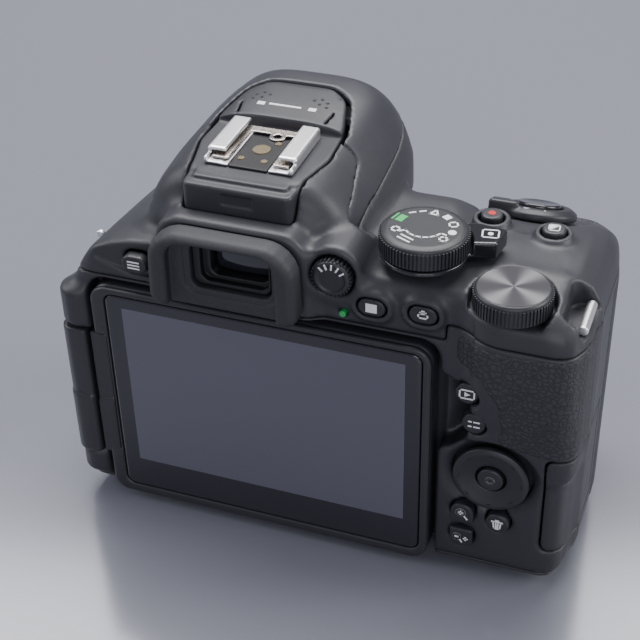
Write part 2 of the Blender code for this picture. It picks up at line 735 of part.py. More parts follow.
def beside_dial(centre, distance, low, high):
    """A block that ends on a flat plane beside the dial, square to the lever's tab."""
    turn = math.radians(27.0)
    along = (math.cos(turn), math.sin(turn))
    corners = []
    for reach, side in ((distance, -14.0), (distance, 14.0), (-14.0, 14.0), (-14.0, -14.0)):
        x = centre[0] + along[0] * reach - along[1] * side
        y = centre[1] + along[1] * reach + along[0] * side
        corners.append((x, y, 0.0))
    return prism(corners, low, high)


def mode_dial(top):
    """The mode dial over the live view lever, both on one shaft through the deck."""
    centre = (MODE_X, MODE_Y)
    cut(top, rod(centre, SHAFT_R + FIT_GAP + 1.6, DECK_Z - 9, DECK_Z + 9))
    bore = SHAFT_R + 2 * FIT_GAP
    lever = turned([
        (bore, DECK_Z + 1.3), (LEVER_R, DECK_Z + 1.3), (LEVER_R, DECK_Z + SEAM_GAP),
        (SHAFT_R + FIT_GAP + 1.2, DECK_Z + SEAM_GAP), (SHAFT_R + FIT_GAP + 1.2, DECK_Z - 4.0),
        (bore, DECK_Z - 4.0), (bore, DECK_Z + 1.3),
    ], centre)
    tab_low, tab_high = DECK_Z + SEAM_GAP, DECK_Z + 4.0
    tab = prism([
        (MODE_X + 4.0, MODE_Y + 1.0, 0.0), (MODE_X + 15.6, MODE_Y + 3.4, 1.4),
        (MODE_X + 14.4, MODE_Y + 9.4, 2.0), (MODE_X + 4.0, MODE_Y + 6.0, 0.0),
    ], tab_low, tab_high)
    cut(tab, beside_dial(centre, MODE_R + FIT_GAP, DECK_Z + 1.3, DECK_Z + 9))
    cut(tab, rod(centre, LEVER_R - 1.0, DECK_Z - 2.0, DECK_Z + 9))
    cut(tab, rod((COMMAND_X, COMMAND_Y), COMMAND_R + 4.0, DECK_Z - 2.0, COMMAND_HIGH + 0.5, sides=32))
    join(lever, tab)
    set_origin(part("live_view_lever", lever, "gloss"), (MODE_X, MODE_Y, DECK_Z))
    dial = turned([
        (0.0, MODE_HIGH), (MODE_R - 0.9, MODE_HIGH), (MODE_R - 0.3, MODE_HIGH - 0.6),
        (MODE_R, MODE_LOW), (SHAFT_R, MODE_LOW), (SHAFT_R, DECK_Z - 5.0), (0.0, DECK_Z - 5.0),
    ], centre, sides=48)
    set_origin(part("mode_dial", dial, "button"), (MODE_X, MODE_Y, MODE_LOW))


def command_dial(top):
    """The command dial lies flat in a well cut into the rear edge of the deck."""
    centre = (COMMAND_X, COMMAND_Y)
    cup = rod(centre, COMMAND_R + 2.4, COMMAND_LOW - 2.2, DECK_Z + 3.0, sides=32)
    join(top, common(cup, envelope(0.6)))
    cut(top, rod(centre, COMMAND_R + 0.5, COMMAND_LOW - FIT_GAP, DECK_Z + 9, sides=32))
    cut(top, rod(centre, SHAFT_R + FIT_GAP, DECK_Z - 20, DECK_Z))
    dial = turned([
        (0.0, COMMAND_HIGH), (COMMAND_R - 0.9, COMMAND_HIGH), (COMMAND_R, COMMAND_HIGH - 0.7),
        (COMMAND_R, COMMAND_LOW), (SHAFT_R, COMMAND_LOW), (SHAFT_R, COMMAND_LOW - 4.0),
        (0.0, COMMAND_LOW - 4.0),
    ], centre, sides=48)
    set_origin(part("command_dial", dial, "steel"), (COMMAND_X, COMMAND_Y, COMMAND_LOW))


def slope_z(y):
    """Height of the grip's sloping top at a distance y."""
    return DECK_Z - (y - (GRIP_FRONT - 26.0)) * math.tan(math.radians(SLOPE_ANGLE))


def shutter_release(top):
    """The shutter button inside the power switch ring, on the slope of the grip."""
    centre = (SWITCH_X, SWITCH_Y)
    base = slope_z(SWITCH_Y)
    ring_in = SHUTTER_R + 0.6
    ring = turned([
        (ring_in, base + 3.0), (SWITCH_R - 1.2, base + 3.0), (SWITCH_R, base + 2.2),
        (SWITCH_R, base + SEAM_GAP + 0.3), (ring_in, base + SEAM_GAP + 0.3), (ring_in, base + 3.0),
    ], centre)
    tab = block((SWITCH_X - SWITCH_R - 1.6, SWITCH_Y - 7.5, base + 0.7), (SWITCH_X - 5.0, SWITCH_Y - 2.4, base + 4.2))
    cut(tab, rod(centre, ring_in + 0.8, base - 1, base + 9))
    join(ring, tab)
    button = turned([
        (0.0, base + 4.1), (SHUTTER_R - 1.0, base + 4.0), (SHUTTER_R, base + 3.4),
        (SHUTTER_R, base - 3.0), (0.0, base - 3.0),
    ], centre)
    hole = rod(centre, ring_in, base - 9, base + 9)
    for obj in (ring, button, hole):
        tilted(obj, SLOPE_ANGLE, SWITCH_Y, base)
    cut(top, hole)
    set_origin(part("power_switch", ring, "gloss"), (SWITCH_X, SWITCH_Y, base))
    set_origin(part("shutter_button", button, "button"), (SWITCH_X, SWITCH_Y, base))


# ---------------------------------------------------------------- viewfinder
def eyepiece(top):
    """The rubber eyecup round the finder window, the window's frame and its lens."""
    z_mid = (EYEPIECE_LOW + EYEPIECE_HIGH) / 2 - 0.5
    window = (AXIS_X, WINDOW_Z)
    opening = oblong(window, (WINDOW_WIDE, WINDOW_HIGH), EYECUP_REAR - 9, HUMP_FRONT - 42, "Y", 3.0)
    cut(top, opening)
    half = EYECUP_WIDE / 2
    low = z_mid - EYECUP_HIGH / 2
    cup = prism([
        (AXIS_X - half, low, 3.0), (AXIS_X + half, low, 3.0), (AXIS_X + half - 0.6, low + EYECUP_HIGH, 8.0),
        (AXIS_X - half + 0.6, low + EYECUP_HIGH, 8.0),
    ], EYECUP_REAR, BROW_FACE - 1.0 - SEAM_GAP, "Y", 6)
    cut(cup, oblong(window, (WINDOW_WIDE + 2.4, WINDOW_HIGH + 1.6), EYECUP_REAR - 9, 0, "Y", 3.4))
    cut(cup, oblong((AXIS_X, WINDOW_Z), (WINDOW_WIDE + 7, WINDOW_HIGH + 3.4), EYECUP_REAR - 9, EYECUP_REAR + 3, "Y", 4))
    part("eyecup", cup, "rubber")
    frame = oblong(window, (WINDOW_WIDE - 0.7, WINDOW_HIGH - 0.7), BROW_FACE - 2.2, BROW_FACE + 9, "Y", 2.6)
    cut(frame, oblong(window, (WINDOW_WIDE - 3.4, WINDOW_HIGH - 3.4), BROW_FACE - 9, BROW_FACE + 19, "Y", 1.6))
    part("eyepiece_frame", frame, "frame")
    lens = oblong(window, (WINDOW_WIDE - 4.2, WINDOW_HIGH - 4.2), BROW_FACE + 1.0, BROW_FACE + 4.0, "Y", 1.2)
    part("eyepiece_lens", lens, "lens")


def diopter(top):
    """The small diopter dial beside the finder, in a hooded well."""
    centre = (DIOPTER_X, DIOPTER_Z)
    cut(top, rod(centre, DIOPTER_R + FIT_GAP, EYECUP_REAR, DIOPTER_FACE + 5.0, "Y"))
    cut(top, rod(centre, 1.6 + FIT_GAP, EYECUP_REAR, DIOPTER_FACE + 12.0, "Y", 16))
    dial = rod(centre, DIOPTER_R, DIOPTER_FACE, DIOPTER_FACE + 4.6, "Y")
    join(dial, rod(centre, 1.6, DIOPTER_FACE + 4.0, DIOPTER_FACE + 9.0, "Y", 16))
    set_origin(part("diopter_dial", dial, "button"), (DIOPTER_X, DIOPTER_FACE, DIOPTER_Z))


def finder_optics():
    """The prism over the mirror box, in line with the mirror and the window."""
    mid_y = MIRROR_Y + (MIRROR_Z - AXIS_Z)
    low = MIRROR_Z + 4.0
    rear, front = mid_y - 10.0, mid_y + 4.5
    glass = prism([
        (rear, low, 0.0), (front - 3.0, low, 0.0), (front, low + 6.0, 0.0), (front - 9.0, DECK_Z + 5.0, 0.0),
        (rear, DECK_Z + 1.0, 0.0),
    ], AXIS_X - 15, AXIS_X + 15, "X")
    part("pentaprism", glass, "lens")


# ---------------------------------------------------------------- hot shoe
def hot_shoe():
    """Rails, spring, contact block and the plate they stand on."""
    plate = prism(panel_plan(0.0), PANEL_LOW, BODY_HEIGHT + 5, "Z")
    common(plate, prism(panel_side(0.0), AXIS_X - 30, AXIS_X + 30, "X"))
    part("shoe_plate", plate, "shell")
    rear, front = SHOE_REAR, SHOE_REAR + SHOE_LONG
    low, high = SHOE_FLOOR - SEAM_GAP, SHOE_FLOOR + SHOE_HIGH
    half, gap = SHOE_WIDE / 2, SHOE_GAP / 2
    rails = block((AXIS_X - half, rear, low), (AXIS_X + half, front, high))
    cut(rails, block((AXIS_X - gap, rear - 9, low + SHOE_SHEET), (AXIS_X + gap, front + 9, high + 9)))
    inner = half - SHOE_SHEET
    cut(rails, block((AXIS_X - inner, rear - 9, low + SHOE_SHEET), (AXIS_X + inner, front + 9, high - SHOE_SHEET)))
    pad = (9.2, 13.0)
    cut(rails, block((AXIS_X - pad[0] / 2, rear - 9, low - 9), (AXIS_X + pad[0] / 2, rear + pad[1], high + 9)))
    part("hot_shoe_rails", rails, "steel")
    insulator = block(
        (AXIS_X - pad[0] / 2 + 0.35, rear, low), (AXIS_X + pad[0] / 2 - 0.35, rear + pad[1] - 0.35, low + SHOE_SHEET)
    )
    mid = rear + 8.6
    join(insulator, rod((AXIS_X, mid), 2.1, low, low + SHOE_SHEET + 0.3, sides=20))
    for dx, dy in ((-3.0, -4.8), (0.0, -6.4), (3.0, -4.8)):
        join(insulator, rod((AXIS_X + dx, mid + dy), 0.8, low, low + SHOE_SHEET + 0.3, sides=12))
    part("shoe_contacts", insulator, "frame")
    sheet_low = low + SHOE_SHEET + SEAM_GAP
    spring = block((AXIS_X - inner + 0.5, rear + 1.0, sheet_low), (AXIS_X + inner - 0.5, front - 0.6, sheet_low + 0.4))
    window = block((AXIS_X - gap + 0.6, rear - 9, low), (AXIS_X + gap - 0.6, front - 2.2, high))
    cut(spring, window)
    part("shoe_spring", spring, "steel")


# ---------------------------------------------------------------- flash
def flash(top):
    """The flash head folds over the front of the hump and turns on two pins."""
    head = cut(hump(0.0), hump(FLASH_WALL))
    common(head, head_zone())
    cut(head, prism(panel_plan(SEAM_GAP * 3), PANEL_LOW - 9, BODY_HEIGHT + 9, "Z"))
    half = 19.6
    for side in (-1, 1):
        pin = rod((PIVOT_Y, PIVOT_Z), PIVOT_R, AXIS_X - 2.6, AXIS_X + 2.6, "X", 12)
        pin.data.transform(Matrix.Translation((side * (half - 1.6) * MM, 0, 0)))
        join(head, pin)
    hole = rod((PIVOT_Y, PIVOT_Z), PIVOT_R + FIT_GAP, AXIS_X - half - 3, AXIS_X + half + 3, "X", 12)
    for side in (-1, 1):
        inner, outer = sorted((AXIS_X + side * 17.3, AXIS_X + side * 24.5))
        cut(top, rod((PIVOT_Y, PIVOT_Z), ARM_TIP_R + 1.6, inner, outer, "X", 24))
    cut(top, hole)
    set_origin(part("flash_head", head, "shell"), (AXIS_X, PIVOT_Y, PIVOT_Z))
    rise = (FLASH_FRONT_Z - PIVOT_Z + ARM_TIP_R) / (HUMP_FRONT + 9.0 - PIVOT_Y)
    ys = (HUMP_FRONT - 7.8, HUMP_FRONT - FLASH_WALL - 0.7)
    low = [PIVOT_Z - ARM_TIP_R + rise * (y - PIVOT_Y) + 0.4 for y in ys]
    lamp = prism([
        (ys[0], low[0], 0.0), (ys[1], low[1], 0.0), (ys[1], low[1] + 2.4, 0.0), (ys[0], low[0] + 2.4, 0.0),
    ], AXIS_X - 18.5, AXIS_X + 18.5, "X")
    part("flash_window", lamp, "diffuser")


# ---------------------------------------------------------------- mount, mirror, sensor
MIRROR_Y, MIRROR_Z = -7.5, AXIS_Z + 11.5
MIRROR_LONG, MIRROR_WIDE = 25.0, 28.0
BOX_HALF_X, BOX_HALF_Z = 17.5, 14.5


def lens_mount():
    ring = rod((AXIS_X, AXIS_Z), MOUNT_OUTER_R, FLANGE_FACE - MOUNT_THICK, FLANGE_FACE, "Y", 48)
    cut(ring, rod((AXIS_X, AXIS_Z), MOUNT_INNER_R, FLANGE_FACE - 9, FLANGE_FACE + 9, "Y", 48))
    part("lens_mount", ring, "steel")


def mirror_box():
    """The box behind the mount, open to the front, the shutter and the screen above."""
    rear, front = MIRROR_Y - 3.0, FLANGE_FACE - MOUNT_THICK - SEAM_GAP
    low, high = AXIS_Z - BOX_HALF_Z - 1.8, MIRROR_Z + 3.6
    box = block((AXIS_X - BOX_HALF_X - 1.8, rear, low), (AXIS_X + BOX_HALF_X + 1.8, FRONT_FACE - 2.6, high))
    collar = rod((AXIS_X, AXIS_Z), MOUNT_INNER_R + 1.8, FRONT_FACE - 5.0, front, "Y", 40)
    join(box, collar)
    cut(box, rod((AXIS_X, AXIS_Z), MOUNT_INNER_R, FRONT_FACE - 3.2, front + 9, "Y", 40))
    cut(box, block((AXIS_X - BOX_HALF_X, rear + 1.8, low + 1.8), (AXIS_X + BOX_HALF_X, front, high - 2.0)))
    cut(box, block((AXIS_X - 12.5, rear - 9, AXIS_Z - 8.5), (AXIS_X + 12.5, rear + 9, AXIS_Z + 8.5)))
    mid_y = MIRROR_Y + (MIRROR_Z - AXIS_Z)
    cut(box, block((AXIS_X - 12.5, mid_y - 8.5, high - 9), (AXIS_X + 12.5, mid_y + 3.5, high + 9)))
    part("mirror_box", box, "frame")


def mirror():
    """The reflex mirror on its holder, at 45 degrees, hinged on its upper rear edge."""
    half = MIRROR_WIDE / 2
    holder = block((AXIS_X - half, MIRROR_Y, MIRROR_Z - 1.3), (AXIS_X + half, MIRROR_Y + MIRROR_LONG, MIRROR_Z))
    join(holder, rod((MIRROR_Y, MIRROR_Z - 0.65), 0.65, AXIS_X - half, AXIS_X + half, "X", 12))
    face = block(
        (AXIS_X - half + 1, MIRROR_Y + 1.5, MIRROR_Z + 0.3),
        (AXIS_X + half - 1, MIRROR_Y + MIRROR_LONG - 0.5, MIRROR_Z + 1.1),
    )
    for obj in (holder, face):
        tilted(obj, 45.0, MIRROR_Y, MIRROR_Z - 0.65)
    set_origin(part("mirror_holder", holder, "frame"), (AXIS_X, MIRROR_Y, MIRROR_Z - 0.65))
    set_origin(part("reflex_mirror", face, "mirror"), (AXIS_X, MIRROR_Y, MIRROR_Z - 0.65))


def imaging_stack():
    """Shutter and sensor, from front to rear behind the mirror box."""
    rear = MIRROR_Y - 3.0 - SEAM_GAP
    unit = block((AXIS_X - 24, rear - 3.0, AXIS_Z - 19), (AXIS_X + 24, rear, AXIS_Z + 19))
    cut(unit, block((AXIS_X - 12.5, rear - 9, AXIS_Z - 8.5), (AXIS_X + 12.5, rear - 1.2, AXIS_Z + 8.5)))
    cut(unit, block((AXIS_X - 12.5, rear - 0.6, AXIS_Z - 8.5), (AXIS_X + 12.5, rear + 9, AXIS_Z + 8.5)))
    part("shutter_unit", unit, "frame")
    sensor_rear = RECESS_FLOOR + 1.8 + FIT_GAP
    sensor = block((AXIS_X - 16, sensor_rear, AXIS_Z - 12), (AXIS_X + 16, SENSOR_FACE - 0.4, AXIS_Z + 12))
    join(sensor, block((AXIS_X - 11.75, sensor_rear, AXIS_Z - 7.8), (AXIS_X + 11.75, SENSOR_FACE, AXIS_Z + 7.8)))
    part("image_sensor", sensor, "gloss")


# ---------------------------------------------------------------- monitor
def monitor_outline(grow, notch):
    """The case's outline with the notch for the arm in its left edge."""
    left, right = MONITOR_LEFT - grow, MONITOR_RIGHT + grow
    low, high = MONITOR_BOTTOM - grow, MONITOR_TOP + grow
    corners = [(left, low, MONITOR_CORNER), (right, low, MONITOR_CORNER), (right, high, MONITOR_CORNER)]
    corners.append((left, high, MONITOR_CORNER))
    if notch:
        deep = left + ARM_BAR_WIDE
        corners += [
            (left, ARM_MID_Z + ARM_NOTCH_HALF, 0.0), (deep, ARM_MID_Z + ARM_NOTCH_HALF, 0.0),
            (deep, ARM_MID_Z - ARM_NOTCH_HALF, 0.0), (left, ARM_MID_Z - ARM_NOTCH_HALF, 0.0),
        ]
    return corners


def monitor():
    """The swing-out monitor: case, rim, cover glass and the arm that carries it."""
    face, back = MONITOR_FACE, MONITOR_FACE + MONITOR_THICK
    case = prism(monitor_outline(0.0, True), face + BEZEL_THICK + SEAM_GAP, back, "Y")
    gl, gr, gb, gt = GLASS_BORDER
    glass_low = (MONITOR_LEFT + gl, face + 0.1, MONITOR_BOTTOM + gb)
    glass_high = (MONITOR_RIGHT - gr, face + 0.1 + GLASS_THICK, MONITOR_TOP - gt)
    rim = prism(monitor_outline(0.0, True), face, face + BEZEL_THICK, "Y")
    cut(rim, block([v - SEAM_GAP for v in glass_low], [v + 9 if k == 1 else v + SEAM_GAP
                                                      for k, v in enumerate(glass_high)]))
    glass = block(glass_low, glass_high)
    cut(case, block((glass_low[0] + 2, face, glass_low[2] + 2), (glass_high[0] - 2, back - 1.6, glass_high[2] - 2)))
    panel = block(
        (glass_low[0] + 2.4, glass_high[1] + SEAM_GAP, glass_low[2] + 2.4),
        (glass_high[0] - 2.4, back - 1.6 - SEAM_GAP, glass_high[2] - 2.4),
    )
    pin_hole = rod((HINGE_Y, ARM_MID_Z), HINGE_PIN_R + FIT_GAP, MONITOR_LEFT - 1, MONITOR_LEFT + 6.2, "X", 16)
    cut(case, pin_hole)
    part("monitor_case", case, "shell")
    part("monitor_rim", rim, "gloss")
    part("monitor_glass", glass, "glass")
    part("monitor_panel", panel, "gloss")
    arm_low = face + 0.2
    arm = rod((HINGE_X, HINGE_Y), HINGE_R, ARM_LOW, ARM_HIGH)
    web = block((HINGE_X, arm_low, ARM_LOW + 1.5), (MONITOR_LEFT - FIT_GAP, back - 0.2, ARM_HIGH - 1.0))
    bar = block(
        (MONITOR_LEFT - 2.0, arm_low, ARM_MID_Z - ARM_BAR_HALF),
        (MONITOR_LEFT + ARM_BAR_WIDE - FIT_GAP, back - 0.2, ARM_MID_Z + ARM_BAR_HALF),
    )
    join(arm, web, bar)
    join(arm, rod((HINGE_X, HINGE_Y), HINGE_PIN_R, ARM_LOW - HINGE_PIN_LONG, ARM_HIGH + HINGE_PIN_LONG, sides=16))
    join(arm, rod((HINGE_Y, ARM_MID_Z), HINGE_PIN_R, MONITOR_LEFT, MONITOR_LEFT + 5.5, "X", 16))
    set_origin(part("monitor_arm", arm, "shell"), (HINGE_X, HINGE_Y, ARM_MID_Z))


def rear_recess(rear, base, top):
    """The monitor's recess, the hinge knuckles and their pin holes."""
    gap = MONITOR_GAP
    wall = 1.8
    right, high = MONITOR_RIGHT + gap, MONITOR_TOP + gap
    backing = block((LEFT + 1.5, REAR_FACE + 1.0, BASE_PLATE + 0.5), (right + wall, RECESS_FLOOR + wall, TOP_SEAM_Z - 0.4))
    knuckles = common(
        block((LEFT, MONITOR_FACE, BASE_PLATE + 0.15), (HINGE_X + 6.0, RECESS_FLOOR + wall, KNUCKLE_HIGH)),
        join(
            rod((HINGE_X, HINGE_Y), HINGE_R, BASE_PLATE + 0.15, KNUCKLE_HIGH),
            block((HINGE_X, HINGE_Y, BASE_PLATE + 0.15), (HINGE_X + HINGE_R, RECESS_FLOOR + wall, KNUCKLE_HIGH)),
            block((LEFT + 0.4, HINGE_Y, BASE_PLATE + 0.15), (HINGE_X + HINGE_R, RECESS_FLOOR + wall, KNUCKLE_HIGH)),
        ),
    )
    join(rear, backing, knuckles)
    inside = block((MONITOR_LEFT - gap, -99, -9), (right, RECESS_FLOOR, high))
    join(inside, block((LEFT - 9, -99, ARM_LOW - SEAM_GAP - 0.3), (right, RECESS_FLOOR, ARM_HIGH + SEAM_GAP + 0.3)))
    cut(base, copy_of(inside))
    cut(rear, inside)
    cut(rear, rod((HINGE_X, HINGE_Y), HINGE_R + 0.45, ARM_LOW - 0.6, ARM_HIGH + 0.6))
    pin_zone = (ARM_LOW - HINGE_PIN_LONG - FIT_GAP, ARM_HIGH + HINGE_PIN_LONG + FIT_GAP)
    cut(rear, rod((HINGE_X, HINGE_Y), HINGE_PIN_R + FIT_GAP, *pin_zone, sides=16))


# ---------------------------------------------------------------- doors, rubber, fittings
def doors(covers):
    """Card door in the right side, battery door in the base, terminal cover in the left side."""
    half = SEAM_GAP / 2
    zone_low = (CARD_LEFT + half, -99, CARD_LOW + half)
    zone_high = (RIGHT + 9, CARD_PIVOT_Y + 0.2, CARD_HIGH - half)
    card = cut(envelope(0.0), envelope(SHELL_WALL))
    common(card, block(zone_low, zone_high))
    hole = block([v - SEAM_GAP for v in zone_low], [v + 0.45 for v in zone_high])
    cut(covers["rear"], copy_of(hole))
    cut(covers["front"], hole)
    set_origin(part("card_door", card, "shell"), (RIGHT - 0.3, CARD_PIVOT_Y, CARD_LOW))

    low, high = (DOOR_LEFT, DOOR_REAR, 0.0), (DOOR_RIGHT, DOOR_FRONT, BASE_PLATE - half)
    shape = [(low[0], low[1], 2.0), (high[0], low[1], 4.0), (high[0], high[1], 6.0), (low[0], high[1], 4.0)]
    opening = [(x, y, min(radius, 1.2)) for x, y, radius in shape]
    cut(covers["base"], prism(inset_corners(opening, -0.4), -9, 20, "Z"))
    door = prism(shape, 0.0, 2.0, "Z")
    tongue = (DOOR_RIGHT - 8.0, (DOOR_REAR + DOOR_FRONT) / 2)
    cut(door, block((tongue[0] - 2.6, tongue[1] - 4, -1), (tongue[0] + 2.6, tongue[1] + 4, 3)))
    set_origin(part("battery_door", door, "shell"), (DOOR_LEFT + 0.4, tongue[1], 0.4))
    latch = block((tongue[0] - 2.2, tongue[1] - 3.6, 0.3), (tongue[0] + 0.2, tongue[1] + 3.6, 1.9))
    set_origin(part("battery_latch", latch, "button"), (tongue[0] - 1.0, tongue[1], 0.3))

    wall_x = LEFT + SHELL_WALL
    port = (PORT_LOW_Y, PORT_LOW_Z), (PORT_HIGH_Y, PORT_HIGH_Z)
    corners = [
        (port[0][0], port[0][1], 2.0), (port[1][0], port[0][1], 2.0),
        (port[1][0], port[1][1], 2.0), (port[0][0], port[1][1], 2.0),
    ]
    cut(covers["front"], prism(inset_corners(corners, -0.4), LEFT - 5, wall_x + 1, "X"))
    flap = prism(corners, LEFT, LEFT + 1.6, "X")
    set_origin(part("terminal_cover", flap, "rubber"), (LEFT + 0.3, PORT_HIGH_Y - 0.3, PORT_LOW_Z))
    sockets = block((wall_x, port[0][0] + 1, port[0][1] + 1), (wall_x + 3, port[1][0] - 1, port[1][1] - 1))
    for z in (20.0, 31.0, 42.0):
        cut(sockets, block((wall_x - 1, -9.0, z - 3.2), (wall_x + 2, -1.0, z + 3.2)))
    part("terminal_panel", sockets, "frame")


def battery():
    low = Vector(CELL_LOW)
    high = low + Vector(CELL_SIZE)
    part("battery", block(low, high), "frame")
    wall = Vector((1.2, 1.2, 0.0))
    gap = Vector((0.4, 0.4, 0.0))
    rise = Vector((0.0, 0.0, 0.4))
    box = block(low - gap - wall, high + gap + wall + rise + Vector((0, 0, 1.2)))
    flange_low = Vector((DOOR_LEFT - 2.5, DOOR_REAR - 2.5, low.z))
    join(box, block(flange_low, (high.x + 1.0, DOOR_REAR + 14.0, low.z + 1.1)))
    cut(box, block(low - gap - Vector((0, 0, 9)), high + gap + rise))
    part("battery_box", box, "frame")


def rubber_skins(covers):
    """Grip and thumb rubber, each let into its cover by its own thickness."""
    grip = ((GRIP_LEFT + 2.0, CARD_PIVOT_Y + 2.0, 6.5), (RIGHT + 9, GRIP_FRONT + 9, RIGHT_SEAM_Z - 2.2))
    thumb = ((RIGHT - 18.5, -99, CARD_HIGH + 1.6), (RIGHT + 9, COVER_SEAM_Y - 2.0, RIGHT_SEAM_Z - 1.2))
    for name, cover, (low, high) in (("grip_rubber", "front", grip), ("thumb_rubber", "rear", thumb)):
        skin = cut(envelope(0.0), envelope(RUBBER_THICK))
        common(skin, block(low, high))
        sunk = cut(envelope(-1.0), envelope(RUBBER_DEEP))
        common(sunk, block([v - SEAM_GAP for v in low], [v + SEAM_GAP for v in high]))
        cut(covers[cover], sunk)
        part(name, skin, "rubber")


def fittings(covers):
    """Strap lugs, tripod socket, assist lamp, finder sensor and status light."""
    lugs = (
        ("strap_lug_right", RIGHT - 3.2, RIGHT_SEAM_Z + 3.7, RIGHT_SEAM_Z, 1),
        ("strap_lug_left", LEFT + 5.0, TOP_SEAM_Z + 3.7, TOP_SEAM_Z, -1),
    )
    for name, x, z, seam, side in lugs:
        y_low, y_high = MONITOR_FACE + 4.5, MONITOR_FACE + 13.0
        outer = x + side * 12
        pocket = block((min(x - side * 2.6, outer), y_low, z - 3.6), (max(x - side * 2.6, outer), y_high, z + 12))
        surround = block((x - 5.0, y_low - 1.8, z - 5.4), (x + 5.0, y_high + 1.8, z + 12))
        join(covers["top"], common(surround, envelope(0.5), block((-99, -99, seam + 0.1), (99, 99, 99))))
        cut(covers["top"], pocket)
        cut(covers["top"], rod((x, z), LUG_R + 0.3, y_low - 1.2, y_high + 1.2, "Y", 12))
        part(name, rod((x, z), LUG_R, y_low - 0.9, y_high + 0.9, "Y", 12), "steel")
    centre = (AXIS_X, SOCKET_Y)
    cut(covers["base"], rod(centre, SOCKET_R + FIT_GAP, -9, 9))
    bush = rod(centre, SOCKET_R, 0.0, BASE_PLATE + 3.0)
    join(bush, rod(centre, SOCKET_R + 2.5, BASE_PLATE - SHELL_WALL + 0.35, BASE_PLATE + 3.0))
    cut(bush, rod(centre, THREAD_R, -9, BASE_PLATE + 1.6, sides=20))
    part("tripod_socket", bush, "steel")
    lamp = (AXIS_X + 37.0, TOP_SEAM_Z + 4.6)
    cut(covers["top"], rod(lamp, 3.2 + SEAM_GAP, 0, 30, "Y", 20))
    part("assist_lamp", rod(lamp, 3.2, FRONT_FACE - 2.6, FRONT_FACE + 0.2, "Y", 20), "lens")
    light = (AXIS_X + 25.3, TOP_SEAM_Z + 2.3)
    cut(covers["top"], rod(light, 0.8 + SEAM_GAP, -99, -20, "Y", 12))
    part("status_light", rod(light, 0.8, REAR_FACE - 0.1, REAR_FACE + 2.2, "Y", 12), "lens")


def build():
    covers = shell_pieces()
    top_form(covers["top"])
    rear_recess(covers["rear"], covers["base"], covers["top"])
    rubber_skins(covers)
    doors(covers)
    selector(covers["rear"])
    rear_buttons(covers)
    deck_buttons(covers["top"])
    front_buttons(covers)
    mode_dial(covers["top"])
    command_dial(covers["top"])
    shutter_release(covers["top"])
    eyepiece(covers["top"])
    diopter(covers["top"])
    hot_shoe()
    flash(covers["top"])
    fittings(covers)
    for name in ("front", "top"):
        cut(covers[name], rod((AXIS_X, AXIS_Z), MOUNT_INNER_R + 2.1, FRONT_FACE - 6, FLANGE_FACE + 9, "Y", 40))
    for name in ("rear", "front", "base", "top"):
        part(name + "_cover" if name != "base" else "base_plate", covers[name], "shell")
    lens_mount()
    mirror_box()
    mirror()
    imaging_stack()
    finder_optics()
    monitor()
    battery()


build()
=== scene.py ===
import math

import bmesh
import bpy
import numpy as np
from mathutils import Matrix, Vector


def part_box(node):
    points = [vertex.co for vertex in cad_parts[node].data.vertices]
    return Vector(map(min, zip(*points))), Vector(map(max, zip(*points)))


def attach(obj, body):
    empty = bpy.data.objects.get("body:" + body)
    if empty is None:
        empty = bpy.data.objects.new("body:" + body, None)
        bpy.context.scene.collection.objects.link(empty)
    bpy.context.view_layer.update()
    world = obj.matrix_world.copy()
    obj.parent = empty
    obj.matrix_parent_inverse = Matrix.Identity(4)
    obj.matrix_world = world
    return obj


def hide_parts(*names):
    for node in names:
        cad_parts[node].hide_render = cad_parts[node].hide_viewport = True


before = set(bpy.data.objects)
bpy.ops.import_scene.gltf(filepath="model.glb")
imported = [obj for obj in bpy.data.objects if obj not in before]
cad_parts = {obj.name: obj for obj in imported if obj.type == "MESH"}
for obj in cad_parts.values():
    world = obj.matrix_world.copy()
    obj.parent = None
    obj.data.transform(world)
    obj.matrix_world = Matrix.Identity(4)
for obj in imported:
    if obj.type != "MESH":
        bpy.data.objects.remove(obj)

import openvdb
from mathutils import Matrix, Vector
from mathutils.bvhtree import BVHTree

bl_info = {
    "name": "SLR camera look",
    "version": (1, 0, 0),
    "blender": (4, 5, 0),
    "location": "3D View > Sidebar > Camera",
    "description": "Builds the finished surfaces of a digital reflex camera round its CAD frame",
    "category": "Object",
}

MM = 0.001

# All places and sizes are in millimetres: X to the right, Y forward, Z up, as the user holds the camera.
LEFT, RIGHT, DECK, TOP = -62.0, 62.0, 80.0, 97.0
REAR, FRONT, GRIP_FRONT, HUMP_FRONT = -27.5, 15.0, 35.0, 27.0
AXIS_X, AXIS_Z = -17.3, 43.0
# The seams between the covers, with half of the gap that each shows.
TOP_SEAM, RIGHT_SEAM_X, RIGHT_SEAM, BASE_SEAM, COVER_SEAM = 65.5, 31.0, 69.5, 4.0, -15.0
GAP = 0.15
WALL = 2.2
# The flash head's hinge line.
PIVOT_Y = -13.5
# The shutter release: its CAD place, the slope it lies on and how far its look is sunk into that slope.
RELEASE_X, RELEASE_Y, RELEASE_Z = 40.0, 18.5, 75.97
SLOPE = math.radians(23.0)
SINK = 4.4
# Centres of the controls: (X, Y) on the deck, (X, Z) on the rear face.
MODE_DIAL = (23.0, -17.8)
COMMAND_DIAL = (44.0, -25.0)
DECK_KEYS = ((32.9, 1.1), (47.1, -0.8))
TOP_KEYS = ((-40.9, 70.7), (14.7, 71.2), (26.0, 71.7))
SELECTOR = (42.3, 30.2)
DIOPTER = (5.9, 77.1)


# ---------------------------------------------------------------- carving
def rmax(a, b, r=0.0):
    """The larger of two distances, with the edge between them rounded."""
    if r <= 0:
        return np.maximum(a, b)
    return np.hypot(np.maximum(a + r, 0), np.maximum(b + r, 0)) + np.minimum(np.maximum(a + r, b + r), 0) - r


def rmin(a, b, r=0.0):
    """The smaller of two distances, with the corner between them filled round."""
    return -rmax(-a, -b, r)


